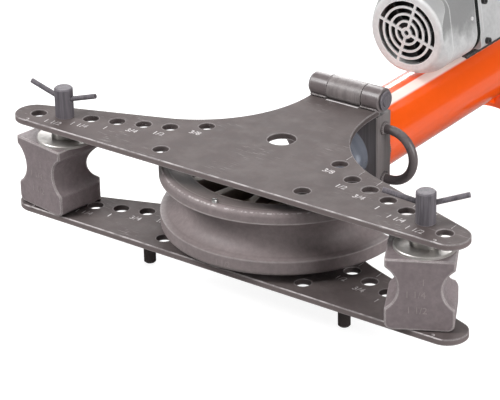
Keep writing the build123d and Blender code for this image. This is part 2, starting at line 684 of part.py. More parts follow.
def fan_cover():
    """Front of the motor: a round face with a grille of arc slots that widens to the motor's section."""
    depth = COVER_LENGTH + CUT_OVER
    points = [(0, 0), (FACE_R, 0), (FLARE_R, FLARE_LENGTH), (FLARE_R, depth), (0, depth)]
    profile = make_face(Polyline(*points, close=True))
    rim = [v for v in profile.vertices() if abs(v.X - FACE_R) < 0.01]
    profile = fillet(rim, FACE_EDGE)
    flare = Pos(0, MOTOR_Y, MOTOR_Z) * ALONG_Y * revolve(Plane.XZ * profile, Axis.Z)
    cover = slab_y(motor_outline(), MOTOR_Y, SHELL_Y) & flare
    inside = rod_y(2 * (MOTOR_BORE_R - COVER_WALL), MOTOR_Y + COVER_WALL, SHELL_Y + CUT_OVER, z=MOTOR_Z)
    inside = fillet(inside.edges().sort_by(Axis.Y)[0], FACE_EDGE - COVER_WALL)
    depth = -2 * COVER_WALL - CUT_OVER
    slots = Pos(0, MOTOR_Y - CUT_OVER, MOTOR_Z) * Rot(90, 0, 0) * extrude(grille_cut(), depth)
    return cover - inside - slots


def motor_shell():
    """Cast body of the motor, bored for the stator."""
    bore = rod_y(2 * MOTOR_BORE_R, SHELL_Y - CUT_OVER, GASKET_Y + CUT_OVER, z=MOTOR_Z)
    return slab_y(motor_outline(), SHELL_Y, GASKET_Y) - bore


def cooling_fan():
    """Disc with straight blades that face the grille, on a hub that is closed in front."""
    front = MOTOR_Y + COVER_WALL + FAN_GAP
    back = front + FAN_T
    fan = rod_y(2 * FAN_R, back - FAN_DISC_T, back, z=MOTOR_Z) + rod_y(2 * FAN_HUB_R, front, back, z=MOTOR_Z)
    for index in range(BLADE_COUNT):
        blade = block((-BLADE_T / 2, BLADE_T / 2), (front, back - FAN_DISC_T), (FAN_HUB_R - CUT_OVER, FAN_R))
        fan += Pos(0, 0, MOTOR_Z) * Rot(0, 360 * index / BLADE_COUNT, 0) * blade
    return fan - rod_y(SHAFT_D + 2 * SEAT_FIT, front + FAN_NOSE, back + CUT_OVER, z=MOTOR_Z)


def motor_end_shield():
    """Disc in the shell that holds the front bearing and backs the stator."""
    rim = 2 * (MOTOR_BORE_R - SEAT_FIT)
    shield = rod_y(rim, SHIELD_Y, SHIELD_Y + SHIELD_T, z=MOTOR_Z)
    back = STATOR_Y
    shield += ring_y(rim, rim - 2 * COVER_WALL, SHIELD_Y + SHIELD_T, back, MOTOR_Z)
    shield += rod_y(BEARING_D + 4 * COVER_WALL, SHIELD_Y, SHIELD_Y + BEARING_T, z=MOTOR_Z)
    seat = (SHIELD_Y - CUT_OVER, SHIELD_Y + BEARING_T + CUT_OVER)
    return shield - rod_y(BEARING_D + 2 * SEAT_FIT, *seat, z=MOTOR_Z)


def motor_bearing(front):
    """Ball bearing as one ring with a groove in each face between its two races."""
    outer = BEARING_D / 2
    inner = SHAFT_D / 2 + RUN_FIT
    sink = BEARING_T / 5
    low, high = inner + BEARING_RACE, outer - BEARING_RACE
    floor = BEARING_T - sink
    points = [(inner, 0), (low, 0), (low, sink), (high, sink), (high, 0), (outer, 0)]
    points += [(outer, BEARING_T), (high, BEARING_T), (high, floor), (low, floor)]
    points += [(low, BEARING_T), (inner, BEARING_T)]
    return turned_y(points, front, MOTOR_Z)


def rear_bearing_y():
    """Front of the rear bearing, which stands in the housing's front wall."""
    return HOUSING_Y + HOUSING_FRONT_T - BEARING_T


def stator_core():
    return ring_y(2 * (MOTOR_BORE_R - SEAT_FIT), 2 * STATOR_BORE_R, STATOR_Y, STATOR_Y + STATOR_T, MOTOR_Z)


def stator_windings():
    """Heads of the winding at both ends of the stator."""
    front = ring_y(2 * WINDING_OUT_R, 2 * WINDING_IN_R, STATOR_Y - WINDING_T, STATOR_Y, MOTOR_Z)
    end = STATOR_Y + STATOR_T
    return [front, ring_y(2 * WINDING_OUT_R, 2 * WINDING_IN_R, end, end + WINDING_T, MOTOR_Z)]


def rotor_core():
    outer = 2 * (STATOR_BORE_R - AIR_GAP)
    return ring_y(outer, SHAFT_D + 2 * SEAT_FIT, STATOR_Y, STATOR_Y + STATOR_T, MOTOR_Z)


def motor_shaft():
    """Shaft from the fan to the eccentric that drives the pump."""
    front = MOTOR_Y + COVER_WALL + FAN_GAP + FAN_NOSE
    shaft = rod_y(SHAFT_D, front, ECCENTRIC_Y + ECCENTRIC_T / 2, z=MOTOR_Z)
    cam = rod_y(2 * ECCENTRIC_R, ECCENTRIC_Y - ECCENTRIC_T / 2, ECCENTRIC_Y + ECCENTRIC_T / 2, z=MOTOR_Z)
    return shaft + Pos(0, 0, ECCENTRIC_THROW) * cam


# Pump housing

def housing_outline():
    """Section of the cast housing about the motor axis."""
    face = leaning_outline(HOUSING_W / 2, -HOUSING_DROP, HOUSING_TOP_RISE)
    return fillet(face.vertices(), HOUSING_CORNER)


def motor_gasket():
    """Black joint between motor and housing."""
    return slab_y(motor_outline() - Circle(MOTOR_BORE_R - COVER_WALL), GASKET_Y, HOUSING_Y)


def pump_housing():
    """Cast box that carries the rear bearing, holds the oil and is open at the back."""
    body = slab_y(housing_outline(), HOUSING_Y, HOUSING_END)
    body += slab_y(motor_outline(), HOUSING_Y, HOUSING_Y + FLANGE_T)
    cavity = offset(housing_outline(), -HOUSING_WALL)
    body -= slab_y(cavity, HOUSING_Y + HOUSING_FRONT_T, HOUSING_END + CUT_OVER)
    front = rear_bearing_y()
    body -= rod_y(BEARING_D + 2 * SEAT_FIT, front, HOUSING_END, z=MOTOR_Z)
    body -= rod_y(SHAFT_D + BEARING_RACE, HOUSING_Y - CUT_OVER, HOUSING_END, z=MOTOR_Z)
    return body - rod_z(FILLER_D / 2, HOUSING_TOP - 2 * HOUSING_WALL, HOUSING_TOP + CUT_OVER, y=FILLER_Y)


def pump_rear_cover():
    """Plate that closes the housing and carries the valve and the pressure port."""
    cover = slab_y(housing_outline(), HOUSING_END, COVER_END)
    level = HOUSING_BASE + PRESSURE_PIPE_RISE
    return cover - rod_y(PRESSURE_PIPE_D, HOUSING_END - CUT_OVER, COVER_END + CUT_OVER, z=level)


def socket_bolt_head():
    """Bolt head with a hexagon socket, standing on Z = 0."""
    head = Cylinder(BOLT_HEAD_D / 2, BOLT_HEAD_H, align=STANDING)
    socket = extrude(RegularPolygon(BOLT_SOCKET / 2, 6), BOLT_SINK + CUT_OVER)
    return head - Pos(0, 0, BOLT_HEAD_H - BOLT_SINK) * socket


def housing_bolts():
    """Bolt heads that lie square on the sloping sides of the housing."""
    slope = sqrt(1 + MOTOR_LEAN ** 2)
    heads = []
    for side in (-1, 1):
        out = Vector(side / slope, 0, MOTOR_LEAN / slope)
        for level in (BOLT_LOW, BOLT_HIGH):
            face_x = side * (HOUSING_W / 2 - MOTOR_LEAN * level)
            for y in (HOUSING_Y + BOLT_INSET, HOUSING_END - BOLT_INSET):
                seat = Plane((face_x, y, MOTOR_Z + level), x_dir=(0, 1, 0), z_dir=out)
                heads.append(seat * socket_bolt_head())
    return heads


def cover_bolts():
    """Bolt heads at the corners of the rear cover."""
    heads = []
    for x in (-COVER_BOLT_X, COVER_BOLT_X):
        for z in (HOUSING_BASE + COVER_BOLT_TOP, HOUSING_TOP - COVER_BOLT_TOP):
            heads.append(Pos(x, COVER_END, z) * ALONG_Y * socket_bolt_head())
    return heads


def pump_block():
    """Steel block on the housing's floor with a well for the eccentric and two plunger bores."""
    half = PUMP_BLOCK_W / 2
    front, back = ECCENTRIC_Y - PUMP_BLOCK_T / 2, ECCENTRIC_Y + PUMP_BLOCK_T / 2
    floor = HOUSING_BASE + HOUSING_WALL
    body = block((-half, half), (front, back), (floor, MOTOR_Z + PUMP_BLOCK_TOP))
    body = chamfer(body.edges().filter_by(Axis.Y), YOKE_EDGE)
    body -= rod_y(2 * PUMP_WELL_R, front - CUT_OVER, back + CUT_OVER, z=MOTOR_Z)
    reach = half - PLUNGER_D / 2
    return body - rod_x(PLUNGER_D + 2 * RUN_FIT, -reach, reach, ECCENTRIC_Y, MOTOR_Z)


def pump_plungers():
    """Pair of plungers that face the eccentric."""
    inner = ECCENTRIC_R + ECCENTRIC_THROW + PLUNGER_GAP
    right = rod_x(PLUNGER_D, inner, inner + PLUNGER_LENGTH, ECCENTRIC_Y, MOTOR_Z)
    left = rod_x(PLUNGER_D, -inner - PLUNGER_LENGTH, -inner, ECCENTRIC_Y, MOTOR_Z)
    return [left, right]


def mounting_saddle():
    """Black block that stands on the cylinder and carries the pump housing."""
    half = SADDLE_W / 2
    body = block((-half, half), (SADDLE_Y, SADDLE_Y + SADDLE_LENGTH), (RAM_Z, HOUSING_BASE))
    body = chamfer(body.edges().filter_by(Axis.Z), YOKE_EDGE)
    return body - rod_y(CYL_D, SADDLE_Y - CUT_OVER, SADDLE_Y + SADDLE_LENGTH + CUT_OVER, z=RAM_Z)


def filler_cap():
    """Fluted cap of the oil filler, with its plug in the housing."""
    cap = rod_z(FILLER_D, HOUSING_TOP, HOUSING_TOP + FILLER_H, y=FILLER_Y)
    cap = chamfer(cap.edges().group_by(Axis.Z)[-1], PIN_EDGE)
    low, high = HOUSING_TOP + PIN_EDGE, HOUSING_TOP + FILLER_H + CUT_OVER
    ring = FILLER_D / 2 + CUT_OVER
    for index in range(FILLER_FLUTES):
        turn = radians(360 * index / FILLER_FLUTES)
        cap -= rod_z(FILLER_D / 6, low, high, ring * cos(turn), FILLER_Y + ring * sin(turn))
    return cap + rod_z(FILLER_D / 2 - 2 * SEAT_FIT, HOUSING_TOP - HOUSING_WALL, HOUSING_TOP, y=FILLER_Y)


# Pressure pipe, release valve and switch

def pressure_pipe():
    """Bent steel pipe from the rear cover to the end cap."""
    level = HOUSING_BASE + PRESSURE_PIPE_RISE
    start = (0, COVER_END, level)
    corner = (0, PORT_Y, level)
    end = (0, PORT_Y, RAM_Z + CYL_D / 2)
    path = FilletPolyline(start, corner, end, radius=PRESSURE_BEND_R)
    return sweep(Plane(start, z_dir=(0, 1, 0)) * Circle(PRESSURE_PIPE_D / 2), path=path)


def pipe_unions():
    """Union nut at each end of the pressure pipe."""
    hole = PRESSURE_PIPE_D + 2 * SEAT_FIT
    level = HOUSING_BASE + PRESSURE_PIPE_RISE
    upper = hexagon_y(UNION_D, COVER_END, COVER_END + UNION_T, 0, level)
    upper -= rod_y(hole, COVER_END - CUT_OVER, COVER_END + UNION_T + CUT_OVER, z=level)
    top = RAM_Z + CYL_D / 2
    lower = Pos(0, PORT_Y, RAM_Z) * extrude(RegularPolygon(UNION_D / 2, 6), CYL_D / 2 + UNION_T)
    lower -= rod_y(CYL_D, CYL_END - CAP_SPIGOT, CAP_END + CUT_OVER, z=RAM_Z)
    lower -= rod_z(hole, RAM_Z, top + UNION_T + CUT_OVER, y=PORT_Y)
    return [upper, lower]


def valve_z():
    return MOTOR_Z + VALVE_RISE


def release_valve_body():
    """Hexagon valve body screwed to the rear cover, bored for the lever's stem."""
    body = hexagon_y(VALVE_D, COVER_END, COVER_END + VALVE_T, VALVE_X, valve_z())
    floor, mouth = COVER_END + VALVE_T / 3, COVER_END + VALVE_T + CUT_OVER
    return body - rod_y(VALVE_STEM_D + 2 * RUN_FIT, floor, mouth, VALVE_X, valve_z())


def release_lever():
    """Lever with a round hub, a tapering arm and a ball end, on a stem in the valve."""
    front = COVER_END + VALVE_T + FACE_GAP
    back = front + LEVER_T
    tip = Pos(LEVER_LENGTH, 0) * Circle(LEVER_T / 2)
    outline = make_hull([*Circle(LEVER_HUB_D / 2).edges(), *tip.edges()])
    arm = Pos(VALVE_X, front, valve_z()) * Rot(90, 0, 0) * extrude(outline, -LEVER_T)
    arm += Pos(VALVE_X + LEVER_LENGTH, (front + back) / 2, valve_z()) * Sphere(LEVER_KNOB_D / 2)
    return arm + rod_y(VALVE_STEM_D, COVER_END + VALVE_T / 3 + FACE_GAP, front, VALVE_X, valve_z())


def switch_out():
    """Outer face of the switch box."""
    return -HOUSING_W / 2 - SWITCH_W


def switch_level():
    return HOUSING_BASE + SWITCH_RISE + SWITCH_H / 2


def switch_box():
    """Moulded box against the sloping side of the housing, bored for the button."""
    low = HOUSING_BASE + SWITCH_RISE
    box = block((switch_out(), 0), (SWITCH_Y, SWITCH_Y + SWITCH_LENGTH), (low, low + SWITCH_H))
    box = fillet(box.edges().filter_by(Axis.X), SWITCH_EDGE)
    box = chamfer(box.faces().sort_by(Axis.X)[0].edges(), SWITCH_EDGE / 3)
    box -= slab_y(housing_outline(), HOUSING_Y, HOUSING_END)
    middle = SWITCH_Y + SWITCH_LENGTH / 2
    rim = switch_out() - BEZEL_T
    floor = switch_out() + BUTTON_IN + BUTTON_OUT
    box += rod_x(BEZEL_D, rim, switch_out(), middle, switch_level())
    return box - rod_x(BUTTON_D + 2 * FACE_GAP, rim - CUT_OVER, floor, middle, switch_level())


def start_button():
    """Round push button in the switch box."""
    middle = SWITCH_Y + SWITCH_LENGTH / 2
    button = rod_x(BUTTON_D, switch_out() - BUTTON_OUT, switch_out() + BUTTON_IN, middle, switch_level())
    return fillet(button.edges().group_by(Axis.X)[0], PIN_EDGE)


def cable_gland():
    """Round gland with a hexagon collar behind the switch box."""
    x = switch_out() + SWITCH_W / 2
    front = SWITCH_Y + SWITCH_LENGTH
    gland = hexagon_y(GLAND_D, front, front + GLAND_T / 3, x, switch_level())
    gland += rod_y(GLAND_D * 0.8, front, front + GLAND_T, x, switch_level())
    return gland - rod_y(GLAND_BORE, front + GLAND_T / 3, front + GLAND_T + CUT_OVER, x, switch_level())


# Rear stand

def leg_centre():
    return STAND_W / 2 - LEG_W / 2


def rear_stand():
    """Web under the cylinder with two splayed legs, an arch, soles and a gusset along the cylinder."""
    wrap = radians(STAND_WRAP_ANGLE)
    hip_x, hip_z = CYL_D / 2 * sin(wrap), RAM_Z - CYL_D / 2 * cos(wrap)
    foot, sole = STAND_W / 2, PAD_T + SOLE_T
    inner = foot - LEG_W
    right = [(hip_x, hip_z), (foot, sole + SOLE_T), (foot, PAD_T), (inner, PAD_T)]
    left = [(-x, z) for x, z in reversed(right)]
    line = Polyline(*right)
    line += ThreePointArc(right[-1], (0, ARCH_TOP), left[0])
    line += Polyline(*left)
    line += Line(left[-1], right[0])
    web = Pos(0, STAND_Y + STAND_T, 0) * extrude(Plane.XZ * make_face(line), STAND_T)
    stand = web
    for side in (-1, 1):
        left_x, right_x = sorted((side * inner, side * foot))
        middle = STAND_Y + STAND_T / 2
        stand += block((left_x, right_x), (middle - SOLE_LENGTH / 2, middle + SOLE_LENGTH / 2), (PAD_T, sole))
    gusset = make_face(Polyline((STAND_Y - GUSSET_LENGTH, RAM_Z - CYL_D / 2), (STAND_Y, RAM_Z - CYL_D / 2),
                                (STAND_Y, ARCH_TOP + SOLE_T), close=True))
    stand += Pos(-STAND_T / 2, 0, 0) * extrude(Plane.YZ * gusset, STAND_T)
    return stand - rod_y(CYL_D, STAND_Y - GUSSET_LENGTH - CUT_OVER, STAND_Y + STAND_T + CUT_OVER, z=RAM_Z)


def rear_foot(side):
    """Rubber pad under a leg's sole."""
    half_w, half_l = LEG_W / 2 - PAD_INSET, SOLE_LENGTH / 2 - PAD_INSET
    middle = STAND_Y + STAND_T / 2
    x = side * leg_centre()
    pad = block((x - half_w, x + half_w), (middle - half_l, middle + half_l), (0, PAD_T))
    return fillet(pad.edges().filter_by(Axis.Z), SWITCH_EDGE)


def build():
    """All pieces by the name of their node."""
    pieces = {
        "lower_wing_plate": lower_wing_plate(),
        "upper_wing_plate": upper_wing_plate(),
        "yoke_block": yoke_block(),
        "hinge_pin": hinge_pin(),
        "hinge_washers": hinge_washers(),
        "cylinder_tube": cylinder_tube(),
        "cylinder_nose": cylinder_nose(),
        "rod_wiper": rod_wiper(),
        "rod_seal": rod_seal(),
        "cylinder_end_cap": cylinder_end_cap(),
        "ram_rod": ram_rod(),
        "piston": piston(),
        "piston_seal": piston_seal(),
        "return_spring": return_spring(),
        "former": former(),
        "fan_cover": fan_cover(),
        "motor_shell": motor_shell(),
        "motor_end_shield": motor_end_shield(),
        "cooling_fan": cooling_fan(),
        "front_bearing": motor_bearing(SHIELD_Y),
        "rear_bearing": motor_bearing(rear_bearing_y()),
        "stator_core": stator_core(),
        "stator_windings": stator_windings(),
        "rotor_core": rotor_core(),
        "motor_shaft": motor_shaft(),
        "motor_gasket": motor_gasket(),
        "pump_housing": pump_housing(),
        "pump_rear_cover": pump_rear_cover(),
        "housing_bolts": housing_bolts(),
        "cover_bolts": cover_bolts(),
        "pump_block": pump_block(),
        "pump_plungers": pump_plungers(),
        "mounting_saddle": mounting_saddle(),
        "filler_cap": filler_cap(),
        "pressure_pipe": pressure_pipe(),
        "pipe_unions": pipe_unions(),
        "release_valve_body": release_valve_body(),
        "release_lever": release_lever(),
        "switch_box": switch_box(),
        "start_button": start_button(),
        "cable_gland": cable_gland(),
        "rear_stand": rear_stand(),
    }
    sides = {
        "left": (-1, LEFT_BLOCK_ANGLE, LEFT_BLOCK_SHIFT, LEFT_BAR_ANGLE),
        "right": (1, RIGHT_BLOCK_ANGLE, RIGHT_BLOCK_SHIFT, RIGHT_BAR_ANGLE),
    }
    for name, (side, block_turn, block_shift, bar_turn) in sides.items():
        pieces["wing_knuckle_" + name] = wing_knuckle(side)
        pieces["carry_handle_" + name] = carry_handle(side)
        pieces["front_foot_" + name] = front_foot(side)
        pieces["support_block_" + name] = support_block(side, block_turn, block_shift)
        pieces["block_bush_" + name] = block_bush(side)
        pieces["wing_pin_" + name] = wing_pin(side, bar_turn)
        pieces["tommy_bar_" + name] = tommy_bar(side, bar_turn)
        pieces["rear_foot_" + name] = rear_foot(side)
    return pieces


def footprint_middle():
    """Station half way between the former's front and the end cap's back."""
    return (FORMER_Y - FORMER_R + CAP_END) / 2


def write(pieces):
    """One file for each node, moved to the origin in the middle of the footprint."""
    step = Pos(0, -footprint_middle(), 0)
    for name, piece in pieces.items():
        solids = piece if isinstance(piece, list) else [piece]
        moved = Compound([solid for one in solids for solid in (step * one).solids()])
        moved.label = name
        export_step(moved, "parts/" + name + ".step")


write(build())
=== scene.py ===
import logging
import math
from abc import ABC, abstractmethod
from dataclasses import dataclass
from enum import Enum
from typing import Callable, ClassVar, Iterable, Sequence

import bmesh
import bpy
from mathutils import Matrix, Vector


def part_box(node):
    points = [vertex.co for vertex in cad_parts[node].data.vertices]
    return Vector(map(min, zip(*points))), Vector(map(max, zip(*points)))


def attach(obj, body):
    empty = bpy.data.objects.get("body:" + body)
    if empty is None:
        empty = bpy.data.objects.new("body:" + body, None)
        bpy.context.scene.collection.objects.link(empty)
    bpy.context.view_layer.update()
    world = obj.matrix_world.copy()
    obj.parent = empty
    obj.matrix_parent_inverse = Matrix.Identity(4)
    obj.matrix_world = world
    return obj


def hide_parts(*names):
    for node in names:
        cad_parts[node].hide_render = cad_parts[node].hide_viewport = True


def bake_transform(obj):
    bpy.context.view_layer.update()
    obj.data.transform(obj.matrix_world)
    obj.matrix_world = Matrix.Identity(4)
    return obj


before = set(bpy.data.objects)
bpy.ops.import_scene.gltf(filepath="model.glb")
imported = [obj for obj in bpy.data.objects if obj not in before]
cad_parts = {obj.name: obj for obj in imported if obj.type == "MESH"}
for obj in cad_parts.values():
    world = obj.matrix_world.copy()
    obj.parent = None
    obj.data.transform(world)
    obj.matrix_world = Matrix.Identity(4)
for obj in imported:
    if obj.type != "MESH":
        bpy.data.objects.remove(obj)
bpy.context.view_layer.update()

# Electric pipe bender: the imported solids get their finishes here, and what is too fine for the
# solids is added to them: size marks, ticks, weld beads, cast numerals, screws and a pale ground
# strip that paints the highlight under the hinge.
# A wound coil spring takes the place of the solid one; the real spring shortens as the ram goes out.
# Lengths are in metres, in the frame of the imported model, unless a class says millimetres.

LOG = logging.getLogger("pipe_bender")

Colour = tuple[float, float, float]
Value = float | Sequence[float] | bpy.types.NodeSocket
MM = 0.001
CENTRE_HOLE_Y = -210.5  # in millimetres
DIGIT_SHARE = 0.72  # height of a digit, as a share of the size of its font
DIGIT_MERGE = 0.0005  # points of a digit nearer than this share of its height become one
CORNER_STEPS = 4  # steps of a round corner
FULL_TURN = 360.0
QUARTER_TURN = 90.0
FULL_RANGE = (0.0, 1.0)
CLOUD_RANGE = (0.3, 0.7)  # where a cloud of noise has nearly all its values
X_AXIS = Vector((1.0, 0.0, 0.0))
Y_AXIS = Vector((0.0, 1.0, 0.0))
Z_AXIS = Vector((0.0, 0.0, 1.0))


class Body(Enum):
    """Moving bodies that a piece can ride on."""

    FRAME = "frame"
    UPPER_WING = "upper_wing"
    RAM = "ram"
    BLOCK_LEFT = "block_left"
    BLOCK_RIGHT = "block_right"


class Slot(Enum):
    """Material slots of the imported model."""

    WING_PAINT = "wing_paint"
    CAST_GREY = "cast_grey"
    ZINC_STEEL = "zinc_steel"
    RAM_STEEL = "ram_steel"
    PIN_STEEL = "pin_steel"
    ORANGE_PAINT = "orange_paint"
    MOTOR_ALLOY = "motor_alloy"
    BLACK_STEEL = "black_steel"
    BRIGHT_STEEL = "bright_steel"
    COPPER = "copper"
    CORE_STEEL = "core_steel"
    RUBBER_BLACK = "rubber_black"
    PLASTIC_BLACK = "plastic_black"
    BUTTON_GREEN = "button_green"


class Effect(Enum):
    """Surface effects that several finishes share, each one node group."""

    EDGE_WEAR_AND_HIGHLIGHT = "edge_wear_and_highlight"
    CORNER_SHADE_AND_GRIME = "corner_shade_and_grime"
    SCUFFS = "scuffs"
    MOTTLE = "mottle"
    CAST_GRAIN = "cast_grain"
    TOOL_LINES = "tool_lines"
    SETTLED_DUST = "settled_dust"


class Side(Enum):
    """The two wings, with the sign of X on each."""

    LEFT = -1
    RIGHT = 1

    @property
    def word(self) -> str:
        """Name of the side in lower case."""
        return self.name.lower()


def pair(name: str) -> tuple[str, str]:
    """Names of a left and a right node."""
    return name + "_left", name + "_right"


def grey(level: float) -> Colour:
    """A colour without a hue."""
    return level, level, level


def rotation(degrees: float, axis: str) -> Matrix:
    """A turn about the X, Y or Z axis."""
    return Matrix.Rotation(math.radians(degrees), 4, axis)


# Shader groundwork


class Sheet:
    """A shader node tree that is being drawn."""

    def __init__(self, tree: bpy.types.NodeTree) -> None:
        """Starts on an empty tree."""
        self.tree = tree
        tree.nodes.clear()

    def feed(self, socket: bpy.types.NodeSocket, value: Value) -> None:
        """Links a socket, or sets its own value.

        Args:
            socket: The input to fill.
            value: An output socket to link, or a plain value.
        """
        if isinstance(value, bpy.types.NodeSocket):
            self.tree.links.new(value, socket)
        else:
            socket.default_value = value

    def add(self, kind: str, inputs: dict[str | int, Value] | None = None,
            **settings: object) -> bpy.types.Node:
        """Adds a node.

        Args:
            kind: Type name of the node.
            inputs: Values or links of its inputs, by name or number.
            **settings: Properties of the node itself.

        Returns:
            The new node.
        """
        node = self.tree.nodes.new(kind)
        for name, value in settings.items():
            setattr(node, name, value)
        for key, value in (inputs or {}).items():
            self.feed(node.inputs[key], value)
        return node

    def coordinates(self, kind: str) -> bpy.types.NodeSocket:
        """Texture coordinates of a kind, such as Object or Normal."""
        return self.add("ShaderNodeTexCoord").outputs[kind]

    def part(self, kind: str, axis: str) -> bpy.types.NodeSocket:
        """The X, Y or Z of texture coordinates of a kind."""
        return self.add("ShaderNodeSeparateXYZ", {0: self.coordinates(kind)}).outputs[axis]

    def noise(self, vector: Value, *, scale: Value, detail: float, roughness: float,
              distortion: float = 0.0) -> bpy.types.NodeSocket:
        """Noise over a vector.

        Args:
            vector: Where the noise is read.
            scale: Waves in a metre.
            detail: Octaves.
            roughness: Share of the finer octaves.
            distortion: Swirl.

        Returns:
            The factor output.
        """
        inputs = {"Vector": vector, "Scale": scale, "Detail": detail, "Roughness": roughness,
                  "Distortion": distortion}
        return self.add("ShaderNodeTexNoise", inputs).outputs[0]

    def span(self, value: Value, *, read: tuple[float, float],
             give: tuple[Value, Value] = FULL_RANGE) -> bpy.types.NodeSocket:
        """Maps a value smoothly from one range to another.

        Args:
            value: The value to map.
            read: The range of it that counts, which may run down.
            give: The results at the two ends of that range.

        Returns:
            The mapped value, clamped.
        """
        inputs = dict(enumerate((value, *read, *give)))
        return self.add("ShaderNodeMapRange", inputs, interpolation_type="SMOOTHSTEP").outputs[0]

    def math(self, operation: str, first: Value, second: Value) -> bpy.types.NodeSocket:
        """Arithmetic of two values."""
        return self.add("ShaderNodeMath", {0: first, 1: second}, operation=operation).outputs[0]

    def size(self, value: Value) -> bpy.types.NodeSocket:
        """A value without its sign."""
        return self.math("ABSOLUTE", value, 0.0)

    def times(self, *values: Value) -> bpy.types.NodeSocket:
        """Product of several values.

        Args:
            *values: Two or more values.

        Returns:
            The product.
        """
        result = values[0]
        for value in values[1:]:
            result = self.math("MULTIPLY", result, value)
        return result

    def vectors(self, operation: str, first: Value, second: Value) -> bpy.types.Node:
        """Vector arithmetic, as the node with its outputs."""
        return self.add("ShaderNodeVectorMath", {0: first, 1: second}, operation=operation)

    def blend(self, factor: Value, first: Value, second: Value) -> bpy.types.NodeSocket:
        """Mixes two colours.

        Args:
            factor: Share of the second colour.
            first: Colour at 0.
            second: Colour at 1.

        Returns:
            The mixed colour.
        """
        opaque = [(*v, 1.0) if isinstance(v, tuple) else v for v in (first, second)]
        node = self.add("ShaderNodeMix", {0: factor, 6: opaque[0], 7: opaque[1]}, data_type="RGBA")
        return node.outputs[2]


class EffectSheet(Sheet):
    """The node group of a shared effect, with its named sockets."""

    def __init__(self, effect: Effect, inputs: dict[str, float], outputs: Sequence[str]) -> None:
        """Makes the group.

        Args:
            effect: The effect that the group is for.
            inputs: Names of the inputs with their usual values.
            outputs: Names of the outputs.
        """
        tree = bpy.data.node_groups.new(effect.value, "ShaderNodeTree")
        for name, value in inputs.items():
            socket = tree.interface.new_socket(name, in_out="INPUT", socket_type="NodeSocketFloat")
            socket.default_value = value
        for name in outputs:
            tree.interface.new_socket(name, in_out="OUTPUT", socket_type="NodeSocketFloat")
        super().__init__(tree)
        self.given = self.add("NodeGroupInput").outputs
        self.out = self.add("NodeGroupOutput").inputs

    def give(self, **results: Value) -> None:
        """Feeds the group's outputs, named as in the arguments.

        Args:
            **results: Value of each output, by its name.
        """
        for name, value in results.items():
            self.feed(self.out[name], value)


